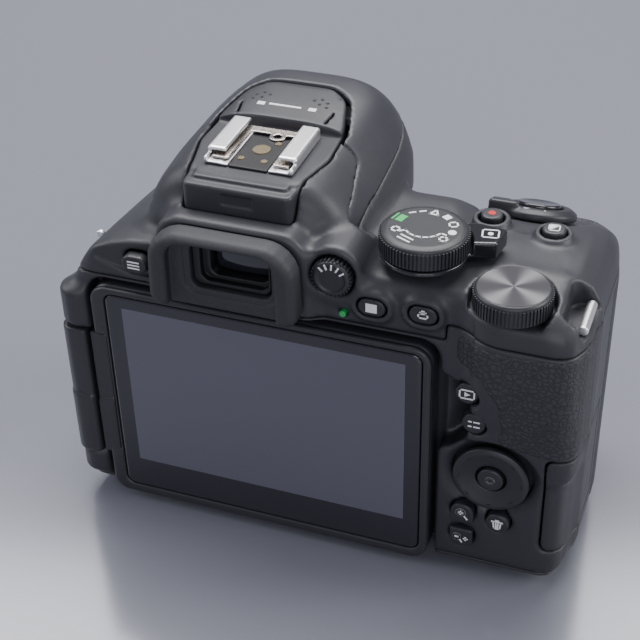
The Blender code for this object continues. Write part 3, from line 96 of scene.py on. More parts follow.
def cut(a, b, r=0.0):
    """The first form with the second taken away."""
    return rmax(a, -b, r)


def fillet(corners, steps=6):
    """Corners (a, b, radius) turned into a closed line with round corners."""
    out = []
    count = len(corners)
    for i, (x, y, r) in enumerate(corners):
        p = np.array((x, y), dtype=float)
        a = np.array(corners[i - 1][:2]) - p
        b = np.array(corners[(i + 1) % count][:2]) - p
        la, lb = np.linalg.norm(a), np.linalg.norm(b)
        a, b = a / la, b / lb
        half = math.acos(float(np.clip(a @ b, -1, 1))) / 2
        if r <= 0 or half > 1.55:
            out.append(p)
            continue
        t = min(r / math.tan(half), 0.49 * min(la, lb))
        r = t * math.tan(half)
        c = p + (a + b) / np.linalg.norm(a + b) * r / math.sin(half)
        for k in range(steps + 1):
            q = (p + a * t - c) * (1 - k / steps) + (p + b * t - c) * k / steps
            out.append(c + q / np.linalg.norm(q) * r)
    return np.array(out)


def outline(u, v, corners):
    """Distance to a filleted outline, negative inside."""
    pts = fillet(corners)
    best = None
    inside = None
    for a, b in zip(pts, np.roll(pts, -1, 0)):
        e = b - a
        wu, wv = u - np.float32(a[0]), v - np.float32(a[1])
        t = np.clip((wu * e[0] + wv * e[1]) / max(float(e @ e), 1e-9), 0, 1)
        d = (wu - e[0] * t) ** 2 + (wv - e[1] * t) ** 2
        rise = e[1] if abs(e[1]) > 1e-9 else 1e-9
        side = ((a[1] > v) != (b[1] > v)) & (wu < e[0] * wv / rise)
        best = d if best is None else np.minimum(best, d)
        inside = side if inside is None else inside ^ side
    return np.where(inside, -1, 1).astype(np.float32) * np.sqrt(best).astype(np.float32)


class Space:
    """A box of sample points, in millimetres, on which forms are carved."""

    def __init__(self, low, high, step):
        self.low, self.step = np.array(low, dtype=float), step
        axes = [np.arange(a, b + step, step, dtype=np.float32) for a, b in zip(low, high)]
        self.shape = tuple(len(a) for a in axes)
        self.x, self.y, self.z = np.meshgrid(*axes, indexing="ij", sparse=True)

    def along(self, axis):
        """The two coordinates across an axis, then the one along it."""
        return {"X": (self.y, self.z, self.x), "Y": (self.x, self.z, self.y),
                "Z": (self.x, self.y, self.z)}[axis]

    def plate(self, corners, lo, hi, axis="Z", r=0.3):
        """A filleted outline given a thickness along an axis."""
        u, v, w = self.along(axis)
        return rmax(outline(u, v, corners), np.abs(w - (lo + hi) / 2) - (hi - lo) / 2, r)

    def disc(self, centre, radius, lo, hi, axis="Z", r=0.3):
        """A round disc or rod along an axis."""
        u, v, w = self.along(axis)
        return rmax(np.hypot(u - centre[0], v - centre[1]) - radius,
                    np.abs(w - (lo + hi) / 2) - (hi - lo) / 2, r)

    def box(self, low, high, r=0.0):
        """A block between two corners."""
        sides = zip((self.x, self.y, self.z), low, high)
        q = [np.abs(c - (a + b) / 2) - (b - a) / 2 + r for c, a, b in sides]
        out = np.sqrt(sum(np.maximum(k, 0) ** 2 for k in q))
        return out + np.minimum(np.maximum(np.maximum(q[0], q[1]), q[2]), 0) - r

    def pill(self, centre, wide, high, lo, hi, axis="Y", corner=None, r=0.3):
        """A flat oblong with round ends or corners."""
        corner = min(wide, high) / 2 if corner is None else corner
        u, v, w = self.along(axis)
        qu = np.abs(u - centre[0]) - wide / 2 + corner
        qv = np.abs(v - centre[1]) - high / 2 + corner
        d = np.hypot(np.maximum(qu, 0), np.maximum(qv, 0)) + np.minimum(np.maximum(qu, qv), 0) - corner
        return rmax(d, np.abs(w - (lo + hi) / 2) - (hi - lo) / 2, r)

    def turned(self, corners, centre, axis="Z"):
        """A form of revolution, from an outline in (radius, distance along the axis)."""
        u, v, w = self.along(axis)
        return outline(np.hypot(u - centre[0], v - centre[1]), w, corners)

    def mesh(self, name, field, paint, adapt=0.0):
        """The surface of a carved form as a finished object, in metres."""
        field = np.broadcast_to(field, self.shape)
        field = np.clip(field, -3 * self.step, 3 * self.step).astype(np.float32).copy()
        for side in (0, -1):
            field[side, :, :] = field[:, side, :] = field[:, :, side] = 3 * self.step
        grid = openvdb.FloatGrid(3 * self.step)
        grid.copyFromArray(field)
        points, tris, quads = grid.convertToPolygons(isovalue=0.0, adaptivity=adapt)
        points = (points * self.step + self.low) * MM
        return plain_object(name, points, [list(tris), list(quads)], paint)


def plain_object(name, points, face_sets, paint):
    """A mesh object with faces outward."""
    data = bpy.data.meshes.new(name)
    faces = [f for group in face_sets for f in group]
    sizes = np.array([len(f) for f in faces], dtype=np.int32)
    flat = np.concatenate([np.asarray(f, dtype=np.int64) for f in faces]) if len(faces) else np.zeros(0)
    points = np.asarray(points, dtype=np.float64)
    volume = 0.0
    for group in face_sets:
        if len(group):
            g = np.asarray(group, dtype=np.int64)
            for k in range(1, g.shape[1] - 1):
                a, b, c = points[g[:, 0]], points[g[:, k]], points[g[:, k + 1]]
                volume += float(np.einsum("ij,ij->i", a, np.cross(b, c)).sum())
    data.vertices.add(len(points))
    data.vertices.foreach_set("co", points.astype(np.float32).ravel())
    data.loops.add(len(flat))
    data.loops.foreach_set("vertex_index", flat.astype(np.int32))
    data.polygons.add(len(sizes))
    data.polygons.foreach_set("loop_start", np.concatenate([[0], np.cumsum(sizes)[:-1]]).astype(np.int32))
    data.update(calc_edges=True)
    data.validate()
    if volume < 0:
        data.flip_normals()
    obj = bpy.data.objects.new(name, data)
    bpy.context.scene.collection.objects.link(obj)
    for one in paint if isinstance(paint, (list, tuple)) else [paint]:
        data.materials.append(one)
    data.shade_smooth()
    return obj


def settle(obj, body, nodes=()):
    """Says which body a piece rides on and which CAD nodes it stands for."""
    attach(obj, body)
    if nodes:
        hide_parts(*nodes)
    return obj


# ---------------------------------------------------------------- shading
class Sock:
    """A shader value with arithmetic."""

    def __init__(self, mat, socket):
        self.mat, self.socket = mat, socket

    def op(self, kind, other=0.0, swap=False):
        """One arithmetic step; swap puts the other value first."""
        values = [self, other] if not swap else [other, self]
        return self.mat.node("ShaderNodeMath", {"operation": kind}, dict(enumerate(values)), 0)

    def __add__(self, other):
        return self.op("ADD", other)

    __radd__ = __add__

    def __sub__(self, other):
        return self.op("SUBTRACT", other)

    def __rsub__(self, other):
        return self.op("SUBTRACT", other, True)

    def __mul__(self, other):
        return self.op("MULTIPLY", other)

    __rmul__ = __mul__

    def __truediv__(self, other):
        return self.op("DIVIDE", other)

    def __rtruediv__(self, other):
        return self.op("DIVIDE", other, True)


class Paint:
    """A material being made."""

    def __init__(self, name, colour, rough, metal=0.0, **more):
        self.made = bpy.data.materials.new(name)
        self.made.use_nodes = True
        self.tree = self.made.node_tree
        self.shader = self.tree.nodes["Principled BSDF"]
        self.set("Base Color", colour)
        self.set("Roughness", rough)
        self.set("Metallic", metal)
        for key, value in more.items():
            self.set(key.replace("_", " "), value)
        self.where = self.node("ShaderNodeTexCoord", {}, {}, "Object")

    def put(self, socket, value):
        """Links a value to a socket, or writes it there."""
        if isinstance(value, Sock):
            self.tree.links.new(value.socket, socket)
        elif hasattr(socket, "default_value"):
            held = socket.default_value
            if hasattr(held, "__len__") and len(held) == 4 and len(value) == 3:
                value = (*value, 1.0)
            socket.default_value = value

    def set(self, key, value):
        self.put(self.shader.inputs[key], value)

    def node(self, kind, settings, values, out):
        """Any node: its settings first, then its socket values or links."""
        made = self.tree.nodes.new(kind)
        for key, value in settings.items():
            setattr(made, key, value)
        for key, value in values.items():
            self.put(made.inputs[key], value)
        return Sock(self, made.outputs[out])

    def noise(self, size_mm, detail=2.0, where=None):
        values = {"Vector": where or self.where, "Scale": 1000.0 / size_mm, "Detail": detail}
        return self.node("ShaderNodeTexNoise", {}, values, 0)

    def cells(self, size_mm, feature="F1", out="Distance"):
        values = {"Vector": self.where, "Scale": 1000.0 / size_mm}
        return self.node("ShaderNodeTexVoronoi", {"feature": feature}, values, out)

    def ramp(self, value, low, high, to_low=0.0, to_high=1.0):
        values = {"Value": value, "From Min": low, "From Max": high, "To Min": to_low, "To Max": to_high}
        return self.node("ShaderNodeMapRange", {}, values, 0)

    def bump(self, height, strength, distance_mm):
        values = {"Height": height, "Strength": strength, "Distance": distance_mm * MM}
        self.set("Normal", self.node("ShaderNodeBump", {}, values, 0))

    def blend(self, factor, a, b):
        made = self.tree.nodes.new("ShaderNodeMix")
        made.data_type = "RGBA"
        self.put(made.inputs[0], factor)
        self.put(made.inputs[6], a)
        self.put(made.inputs[7], b)
        return Sock(self, made.outputs[2])


def shade(colour, gain):
    """A colour made darker or lighter."""
    return tuple(min(1.0, c * gain) for c in colour)


def moulded(name, colour, rough, grain=0.32, strength=0.3, fleck=0.12):
    """Moulded plastic with a fine spark-eroded grain."""
    p = Paint(name, colour, rough)
    fine = p.noise(grain, 3.0)
    broad = p.noise(9.0, 2.0)
    tone = p.ramp(fine, 0.35, 0.65)
    p.set("Base Color", p.blend(tone, shade(colour, 1 - fleck), shade(colour, 1 + fleck)))
    p.set("Roughness", rough - 0.05 + 0.1 * broad)
    p.bump(fine, strength, 0.06)
    return p.made


def hide(name, colour, rough, pebble=1.25):
    """Grained rubber with the look of pebbled leather, its colour darkened in the creases between the pebbles
    as painted shade.
    """
    p = Paint(name, colour, rough)
    cell = p.cells(pebble, "SMOOTH_F1")
    edge = p.cells(pebble, "DISTANCE_TO_EDGE")
    rise = p.ramp(edge, 0.0, 0.22)
    fine = p.noise(0.25, 2.0)
    # Painted shade: the colour is darker toward the cell edges, in the creases between the pebbles, and
    # lighter on their tops; the same ramp raises the pebbles in the bump.
    p.set("Base Color", p.blend(rise, shade(colour, 0.55), shade(colour, 1.12)))
    p.set("Roughness", rough + 0.08 * fine)
    p.bump(rise + 0.25 * fine - 0.2 * cell, 0.75, 0.16)
    return p.made


def make_paints(look):
    """Every finish of the camera, by name."""
    dark = tuple(look.body_colour)
    made = {
        "shell": moulded("cover plastic", dark, 0.46),
        "hood": moulded("flash head plastic", shade(dark, 1.15), 0.40, 0.3, 0.22),
        "soft": moulded("eyecup rubber", shade(dark, 0.85), 0.62, 0.4, 0.25),
        "hide": hide("grained rubber", tuple(look.rubber_colour), 0.5),
        "button": moulded("button plastic", shade(dark, 0.75), 0.42, 0.25, 0.15),
        "gloss": Paint("polished plastic", shade(dark, 0.6), 0.16, **{"Coat Weight": 0.4}).made,
        "black": Paint("black plastic", (0.006, 0.006, 0.008), 0.5).made,
        "case": moulded("monitor case plastic", shade(dark, 0.9), 0.38, 0.3, 0.12),
        "ink": Paint("white ink", tuple(look.ink_colour), 0.5).made,
        "green": Paint("green ink", (0.03, 0.42, 0.10), 0.45).made,
        "red": Paint("red ink", (0.55, 0.02, 0.015), 0.4).made,
        "gold": Paint("contact gilding", (0.82, 0.66, 0.42), 0.25, 1.0).made,
        "lens": Paint("dark optical glass", (0.012, 0.014, 0.02), 0.04, **{"Coat Weight": 1.0}).made,
        "mirror": Paint("silvered glass", (0.85, 0.87, 0.9), 0.03, 1.0).made,
        "lamp": Paint("frosted lamp window", (0.75, 0.76, 0.74), 0.25, **{"Coat Weight": 0.6}).made,
    }
    steel = Paint("bright metal", (0.93, 0.93, 0.94), 0.3, 1.0)
    streak = steel.noise(0.5, 2.0)
    steel.set("Roughness", 0.3 + 0.14 * streak)
    made["steel"] = steel.made
    warm = Paint("spring steel", (0.62, 0.57, 0.52), 0.24, 1.0)
    warm.set("Roughness", 0.2 + 0.14 * warm.noise(0.8, 2.0))
    made["spring"] = warm.made
    spun = Paint("spun metal", (0.2, 0.2, 0.215), 0.34, 0.8)
    split = spun.tree.nodes.new("ShaderNodeSeparateXYZ")
    spun.put(split.inputs[0], spun.where)
    x, y = (Sock(spun, split.outputs[k]) for k in (0, 1))
    # Painted highlight: two bright lobes and radial streaks, set by the angle round the command dial's
    # centre, are painted into the spun metal's colour in place of the lamps' reflection; the streaks also
    # vary its roughness.
    angle = (y + 25.0 * MM).op("ARCTAN2", x - 44.0 * MM)
    painted_highlight_lobes = (2.0 * angle - 2.2).op("COSINE").op("POWER", 4.0)
    highlight_and_roughness_streaks = spun.node("ShaderNodeTexNoise", {"noise_dimensions": "1D"}, {"W": 90.0 * angle, "Scale": 1.0}, 0)
    spun.set("Base Color", spun.blend(painted_highlight_lobes * 0.75 + 0.2 * highlight_and_roughness_streaks, (0.035, 0.035, 0.04), (0.24, 0.235, 0.245)))
    spun.set("Roughness", 0.32 + 0.1 * highlight_and_roughness_streaks)
    made["spun"] = spun.made
    glass = Paint("monitor glass", (0.02, 0.02, 0.026), 0.09, **{"Coat Weight": 0.5})
    made["glass"] = glass.made
    made["screen"] = Paint("monitor panel", (0.105, 0.105, 0.135), 0.14).made
    return made


PAINTS = {}


# ---------------------------------------------------------------- camera body form
def stations(y):
    """Half width and top height of the prism hump at a distance y."""
    back = np.array([0, 3, 9, 16, 28, 42, 52.6, 60])
    half = np.array([22.4, 24.2, 25.4, 25.8, 25.6, 24.8, 22.0, 20.0])
    drop = np.array([0.6, 0.0, 0.0, 0.6, 2.2, 3.4, 4.4, 5.0])
    fine = np.linspace(-3, 63, 133)
    soft = np.exp(-(np.linspace(-4, 4, 17) ** 2) / 5)
    soft /= soft.sum()
    halves = np.convolve(np.interp(fine, back, half), soft, "same")
    drops = np.convolve(np.interp(fine, back, drop), soft, "same")
    b = HUMP_FRONT - y
    ok = fine[10:-10]
    return np.interp(b, ok, halves[10:-10]), TOP - np.interp(b, ok, drops[10:-10])


def hump(s, foot=70.0, power=3.6):
    """Distance to the prism hump."""
    half, top = stations(s.y)
    half, top = half.astype(np.float32), top.astype(np.float32)
    half = half * (1 - 0.14 * np.clip((s.z - DECK) / 17.0, 0, 1))
    half = half + 6.0 * np.clip((DECK + 2.0 - s.z) / 12.0, 0, 1) ** 2 * np.clip((12.0 - s.y) / 14.0, 0, 1)
    across = np.abs(s.x - AXIS_X - 1.6 * np.clip((s.y + 5.0) / 25.0, 0, 1)) / half
    up = np.maximum(s.z - foot, 0) / (top - foot)
    p = (across ** power + up ** power + 1e-6) ** (1 / power)
    slope = p ** (1 - power)
    g = np.hypot(across ** (power - 1) * slope / half, up ** (power - 1) * slope / (top - foot))
    d = (p - 1) / np.maximum(g, 0.02)
    return rmax(rmax(d, s.y - HUMP_FRONT, 2.6), -21.0 - s.y, 5.0)


def body_form(s):
    """The whole outer form, before its wells and recesses are cut and its walls are hollowed."""
    front = outline(s.x, s.z, [
        (LEFT, 0.0, 4.0), (RIGHT, 0.0, 8.0), (RIGHT, DECK, 12.0), (8.0, DECK, 30.0), (-30.0, 78.4, 20.0),
        (LEFT + 18.0, 76.8, 14.0), (LEFT + 7.6, 74.4, 6.0), (LEFT, 59.0, 8.0),
    ])
    plan = outline(s.x, s.y, [(LEFT, REAR, 3.0), (RIGHT, REAR, 8.0), (RIGHT, 5.0, 14.0), (57.0, FRONT, 6.0),
                                 (LEFT, FRONT, 14.0)])
    left_top = -0.684 * s.x + 0.104 * s.y + 0.7216 * s.z - 86.58
    side = outline(s.y, s.z, [(REAR, 0.0, 3.5), (FRONT, 0.0, 2.5), (FRONT, DECK, 9.0), (REAR, DECK, 6.0)])
    main = rmax(rmax(rmax(plan, side, 2.0), front, 3.0), left_top, 3.0)
    grip = rmax(
        outline(s.x, s.y, [(30.5, REAR + 10, 0), (RIGHT, REAR + 10, 0), (RIGHT, 5.0, 14),
                           (RIGHT - 5.5, 24.0, 10),
                           (RIGHT - 12.5, GRIP_FRONT, 9), (33.5, GRIP_FRONT, 9)]),
        outline(s.y, s.z, [(REAR + 10, 0, 0), (GRIP_FRONT - 5, 0, 4), (GRIP_FRONT, 46, 30),
                           (GRIP_FRONT, 62.5, 8),
                           (28.0, 66.5, 6), (7.0, 75.9, 16), (-6.0, DECK, 20), (REAR + 10, DECK, 0)]), 3.0)
    slope = outline(s.y, s.z, [(-50, -9, 0), (60, -9, 0), (60, 52.9, 0), (7.0, 75.9, 16), (-6.0, DECK, 20),
                               (-50, DECK, 0)])
    main = rmax(main, slope - 0.6 * (29.0 - s.x).clip(0, 60), 2.0)
    thumb = rmax(
        outline(s.x, s.y, [(RIGHT - 27, -32.7, 12), (RIGHT, -32.7, 11), (RIGHT, REAR + 14, 0),
                           (RIGHT - 27, REAR + 14, 0)]),
        outline(s.y, s.z, [(REAR + 1, 33, 0), (REAR + 14, 33, 0), (REAR + 14, DECK, 0), (REAR - 0.5, DECK, 6),
                           (-32.7, DECK - 7, 5), (-32.7, DECK - 18, 16)]), 3.0)
    form = rmin(rmin(main, grip, 6.0), thumb, 3.5)
    form = rmax(form, front, 6.0)
    boss = s.disc((AXIS_X, AXIS_Z), 31.5, 0.0, 27.2, "Y", 1.0)
    form = rmin(form, boss, 5.0)
    form = rmin(form, rmax(hump(s), 71.0 - s.z, 2.0), 3.5)
    finder = s.plate([(AXIS_X - 19, 64, 2), (AXIS_X + 19, 64, 2), (AXIS_X + 17, 85.5, 6),
                      (AXIS_X - 17, 85.5, 6)],
                     -28.6, -10.0, "Y", 1.5)
    form = rmin(form, finder, 3.0)
    hood = s.disc((5.9, 77.4), 6.6, -27.4, -14.0, "Y", 1.4)
    form = rmin(form, hood, 3.0)
    for centre in DECK_KEYS:
        form = rmin(form, s.disc(centre, 4.3, 70.0, DECK + 0.2, "Z", 0.8), 1.6)
    for low, high in ((50.4, 61.0), (5.5, 12.9)):
        form = rmin(form, s.disc((-57.9, -25.0), 4.2, low, high, "Z", 1.6), 3.0)
    for x, z in TOP_KEYS[1:]:
        form = rmin(form, s.pill((x, z), 9.4, 7.6, -28.3, -20.0, "Y", 3.6, 0.9), 1.6)
    return form


def from_release(s):
    """Distance of each cell from the shutter button's tilted axis."""
    along = (s.y - RELEASE_Y) * math.cos(SLOPE) - (s.z - RELEASE_Z) * math.sin(SLOPE)
    return np.hypot(s.x - RELEASE_X, along)


def controls_cut(s, form):
    """Wells, pockets and recesses of the outer form."""
    form = cut(form, s.plate([(-54.3, -2.0, 0), (29.7, -2.0, 3), (29.7, 64.6, 4.6), (-54.3, 64.6, 4.6)],
                             -40.0, -21.2, "Y", 0.4), 0.7)
    scoop = outline(s.x, s.z, [(24, 58, 1), (29, 57.0, 4), (34.4, 54.5, 3), (36.9, 50.5, 3), (37.0, 43.5, 5),
                               (35.5, 39.0, 3), (32.5, 36.6, 3), (24, 34.0, 1)])
    form = cut(form, rmax(scoop, s.y + 22.5 - 0.55 * (s.x - 29.0).clip(0, 20), 1.2), 1.4)
    arm = s.plate([(-64, 13.1, 0), (-50, 13.1, 0), (-50, 50.1, 0), (-64, 50.1, 0)], -40.0, -20.6, "Y", 0.3)
    form = cut(form, arm, 0.4)
    mode = s.disc(MODE_DIAL, 10.4, 79.9, 99.0, "Z", 0.4)
    form = cut(form, mode, 0.6)
    form = cut(form, s.disc(COMMAND_DIAL, 9.1, 74.9, 99.0, "Z", 0.4), 0.6)
    for corners, floor in (
        ([(54.4, -27.4, 1.5), (66, -27.4, 0), (66, -14.6, 0), (54.4, -14.6, 2.5)], 72.0),
        ([(-70, -14.6, 0), (-53.4, -14.6, 1.5), (-53.4, -5.2, 2.5), (-70, -5.2, 0)], 65.4),
    ):
        form = cut(form, s.plate(corners, floor, 90.0, "Z", 0.6), 0.8)
    leaf = outline(s.x, s.z, [(-53.5, 70.4, 1), (-42, 75.6, 6), (-30, 74.9, 2), (-30, 67.5, 2),
                              (-42, 66.9, 6)])
    form = cut(form, rmax(leaf, s.y + 26.3 - 0.05 * (s.x + 53), 0.6), 0.8)
    dish = np.sqrt((s.x - 42.3) ** 2 + (s.z - 30.2) ** 2 + ((s.y + 27.5) * 3.4) ** 2) - 11.2
    form = cut(form, dish / 1.4, 1.0)
    form = cut(form, s.disc(SELECTOR, 9.3, -40, -24.2, "Y", 0.3), 0.3)
    form = cut(form, s.disc(DIOPTER, 5.0, -40.0, -24.0, "Y", 0.3), 0.3)
    cup = s.plate([(AXIS_X - 15.4, 66.8, 2), (AXIS_X + 15.4, 66.8, 2), (AXIS_X + 15.0, 84.2, 6),
                   (AXIS_X - 15, 84.2, 6)],
                  -40.0, -28.2, "Y", 0.2)
    form = cut(form, cup, 0.2)
    grip_top = (s.y - RELEASE_Y) * math.sin(SLOPE) + (s.z - RELEASE_Z) * math.cos(SLOPE) + SINK
    ring = from_release(s)
    form = cut(form, rmax(ring - 9.5, -grip_top - 0.2, 0.2), 0.3)
    form = cut(form, rmax(ring - 13.4, 0.35 - grip_top, 0.2), 0.6)
    return form


def through_holes(s, shell):
    """Holes right through the walls."""
    for x, z in ((36.2, 53.4), (38.0, 45.5), (36.3, 18.7), (36.3, 11.1), (44.6, 17.8)):
        shell = cut(shell, s.disc((x, z), 3.05, -45, -20, "Y", 0), 0.35)
    for x, z in TOP_KEYS:
        shell = cut(shell, s.pill((x, z), 7.0, 5.0, -45, -19, "Y"), 0.35)
    for x, y in DECK_KEYS:
        shell = cut(shell, s.disc((x, y), 3.0, 72, 99, "Z", 0), 0.3)
    shell = cut(shell, s.disc((8.0, 67.8), 0.95, -45, -20, "Y", 0), 0.2)
    for x, z, r in ((-44.8, 68.5, 3.0), (-50.6, 57.5, 3.2), (-51.4, 40.0, 4.6), (19.7, 70.1, 3.6)):
        shell = cut(shell, s.disc((x, z), r, -4, 40, "Y", 0), 0.3)
    window = s.pill((AXIS_X, 76.5), 18.6, 11.4, -45, -12, "Y", 3.0, 0)
    shell = cut(shell, window, 0.2)
    shell = cut(shell, s.disc((AXIS_X, AXIS_Z), 24.0, 5, 45, "Y", 0), 0.4)
    shell = cut(shell, s.disc(MODE_DIAL, 4.6, 70, 90, "Z", 0), 0.2)
    grip_axis = from_release(s)
    shell = cut(shell, rmax(grip_axis - 5.6, 60.0 - s.z), 0.2)
    card = s.plate([(54.1, 11.2, 2), (70, 11.2, 0), (70, 39.7, 0), (54.1, 39.7, 2)], -45, -2.4 - 0.2, "Y", 0)
    shell = cut(shell, card, 0.2)
    shell = cut(shell, s.plate([(34.7, -12.3, 1), (57.3, -12.3, 3), (57.3, 25.8, 4), (34.7, 25.8, 1)], -5, 6,
                               "Z", 0), 0.2)
    shell = cut(shell, s.disc((AXIS_X, -2.0), 6.3, -5, 6, "Z", 0), 0.2)
    shell = cut(shell, s.box((-70, -12.3, 13.7), (-56, 1.8, 52.3)), 0.2)
    return shell


def head_side(s):
    """The flash head's zone, seen from the side: over the lower line, in front of the arm's rear edge."""
    return outline(s.y, s.z, [
        (PIVOT_Y - 3.2, 80.9, 2.5), (PIVOT_Y + 1.0, 80.9, 3.0), (36.0, 89.2, 0), (36.0, 106.0, 0),
        (1.0, 106.0, 0),
        (0.6, 90.0, 4.0), (-11.5, 85.6, 3.0), (PIVOT_Y - 3.4, 84.4, 2.0),
    ])


def panel_plan(grow=0.0):
    """The plate round the shoe, in plan."""
    pts = [(-12.2, -24.5, 2.5), (12.2, -24.5, 2.5), (13.4, -15.0, 3.0), (15.5, -6.0, 9.0), (15.0, 5.2, 10.0),
           (12.4, 14.5, 6.0), (8.0, 18.0, 5.0), (-8.0, 18.0, 5.0), (-12.4, 14.5, 6.0), (-15.0, 5.2, 10.0),
           (-15.5, -6.0, 9.0), (-13.4, -15.0, 3.0)]
    return [(AXIS_X + x * (1 + grow / 14), (y + 3.0) * (1 + grow / 20) - 3.0, r) for x, y, r in pts]


def block_plan(grow=0.0):
    """The block under the shoe, in plan."""
    pts = [(-12.5, -23.4, 1.6), (12.5, -23.4, 1.6), (13.7, -6, 3), (13.5, 4.0, 3), (-13.5, 4.0, 3),
           (-13.7, -6, 3)]
    return [(AXIS_X + x * (1 + grow / 13), y - (grow if y < -9 else 0.0), r) for x, y, r in pts]


def make_covers(look):
    """The four covers, the flash head and the rubber skins, carved from one form."""
    step = look.fineness
    s = Space((-64, -37, -1.5), (64, 37, 98.5), step)
    form = controls_cut(s, body_form(s)).astype(np.float32)
    inner = -(form + WALL)
    shell = np.maximum(form, inner)
    top_line = np.where(s.x < RIGHT_SEAM_X, TOP_SEAM - s.z, RIGHT_SEAM - s.z)
    head_zone = head_side(s)
    head_form = hump(s)
    dome = np.maximum(form, -(np.maximum(head_zone - 0.25, -(head_form + 2.9))))
    shell = np.maximum(dome, inner)
    shell = cut(shell, rmax(outline(s.x, s.y, panel_plan(0.2)), 86.5 - s.z, 0.2), 0.25)
    shell = cut(shell, s.plate(block_plan(0.3), 83.2, 99.0, "Z", 0), 0.25)
    shell = cut(shell, rmax(head_zone - 0.3, 11.0 - s.y), 0.2)
    shell = through_holes(s, shell)
    paint = PAINTS["shell"]
    rear_side = s.y - (COVER_SEAM - GAP)
    base_side = s.z - (BASE_SEAM - GAP)
    pieces = {
        "top_cover": np.maximum(shell, top_line + GAP),
        "rear_cover": rmax(rmax(shell, GAP - top_line, 0.15), rmax(rear_side, BASE_SEAM + GAP - s.z, 0.1),
                           0.15),
        "front_cover": rmax(rmax(shell, GAP - top_line, 0.15),
                            rmax(COVER_SEAM + GAP - s.y, BASE_SEAM + GAP - s.z), 0.15),
        "base_plate": rmax(shell, base_side, 0.15),
    }
    for name, field in pieces.items():
        settle(s.mesh("look_" + name, field, paint, look.thrift), "camera", (name,))
    head = rmax(rmax(head_form, -(head_form + 2.1), 0.1), head_zone, 0.4)
    head = cut(head, outline(s.x, s.y, panel_plan(0.7)), 0.3)
    settle(s.mesh("look_flash_head", head, PAINTS["hood"], look.thrift), "flash", ("flash_head",))
    make_skins(look, s, form)


# ---------------------------------------------------------------- printed marks
def mark(obj, lines, paint, origin, right, up, width=0.42, scale=1.0, thick=0.07):
    """Adds raised printed strokes to a finished piece. A line is a list of (a, b) in mm from the origin."""
    if paint.name not in [m.name for m in obj.data.materials]:
        obj.data.materials.append(paint)
    index = [m.name for m in obj.data.materials].index(paint.name)
    right, up = Vector(right).normalized(), Vector(up).normalized()
    out = right.cross(up)
    points, faces = [], []
    for line in lines:
        if line[0] == "fill":
            flat = [Vector(p) * scale for p in line[1:]]
            groups = [flat]
        else:
            groups = []
            for a, b in zip(line, line[1:]):
                a, b = Vector(a) * scale, Vector(b) * scale
                along = (b - a).normalized() * width / 2 if (b - a).length > 1e-6 else Vector((width / 2, 0))
                across = Vector((-along.y, along.x))
                groups.append([a - along - across, b + along - across, b + along + across,
                               a - along + across])
        for flat in groups:
            area = sum(p.x * q.y - q.x * p.y for p, q in zip(flat, flat[1:] + flat[:1]))
            flat = flat if area > 0 else flat[::-1]
            n, base = len(flat), len(points)
            for level in (-0.25, thick):
                points += [(Vector(origin) + right * p.x + up * p.y + out * level) * MM for p in flat]
            faces.append([base + n + k for k in range(n)])
            faces.append([base + n - 1 - k for k in range(n)])
            faces += [[base + k, base + (k + 1) % n, base + n + (k + 1) % n, base + n + k] for k in range(n)]
    add_faces(obj, points, faces, index)
    return obj


def add_faces(obj, points, faces, index):
    """Adds flat faces to a mesh, with one of its materials."""
    made = bmesh.new()
    made.from_mesh(obj.data)
    verts = [made.verts.new(p) for p in points]
    for face in faces:
        one = made.faces.new([verts[k] for k in face])
        one.material_index = index
        one.smooth = False
    made.to_mesh(obj.data)
    made.free()


def ring_line(radius, low=0, high=360, sides=20):
    """Points of a ring or an arc, in degrees."""
    return [(radius * math.cos(math.radians(a)), radius * math.sin(math.radians(a)))
            for a in np.linspace(low, high, sides)]


def filled(points):
    """An outline that is printed solid."""
    return ["fill", *points]


def square(half, high=None):
    """A closed square or oblong, from its half width and half height."""
    high = half if high is None else high
    return [(-half, -high), (half, -high), (half, high), (-half, high), (-half, -high)]


ICONS = {
    "menu_button": [[(-1.3, 0.8), (1.3, 0.8)], [(-1.3, 0), (1.3, 0)], [(-1.3, -0.8), (1.3, -0.8)]],
    "info_button": [filled(square(1.25, 1.1)[:4])],
    "lock_button": [square(1.0, 0.55), [(-0.6, 0.6), (-0.6, 1.2), (0.6, 1.2), (0.6, 0.6)]],
    "playback_button": [square(1.6, 1.1), filled([(-0.55, -0.6), (0.75, 0.0), (-0.55, 0.6)])],
    "i_button": [[(-1.1, 0.7), (-0.6, 0.7)], [(0.1, 0.7), (1.2, 0.7)], [(-1.1, -0.6), (-0.6, -0.6)],
                 [(0.1, -0.6), (1.2, -0.6)]],
    "zoom_in_button": [[(x - 0.2, y + 0.3) for x, y in ring_line(0.95)], [(0.5, -0.4), (1.3, -1.4)],
                       [(-0.6, 0.3), (0.2, 0.3)], [(-0.2, -0.1), (-0.2, 0.7)]],
    "zoom_out_button": [[(x - 0.9, y + 0.3) for x, y in ring_line(0.8)], [(-0.3, -0.3), (0.3, -1.1)],
                        [(-1.2, 0.3), (-0.6, 0.3)], [(x + 1.2, y) for x, y in square(0.4)]],
    "delete_button": [[(-0.9, 0.6), (-0.65, -1.3), (0.65, -1.3), (0.9, 0.6)], [(-1.2, 0.8), (1.2, 0.8)],
                      [(-0.25, 0.3), (-0.2, -0.9)], [(0.25, 0.3), (0.2, -0.9)], [(-0.3, 1.2), (0.3, 1.2)]],
    "ok_button": [ring_line(0.85)],
}


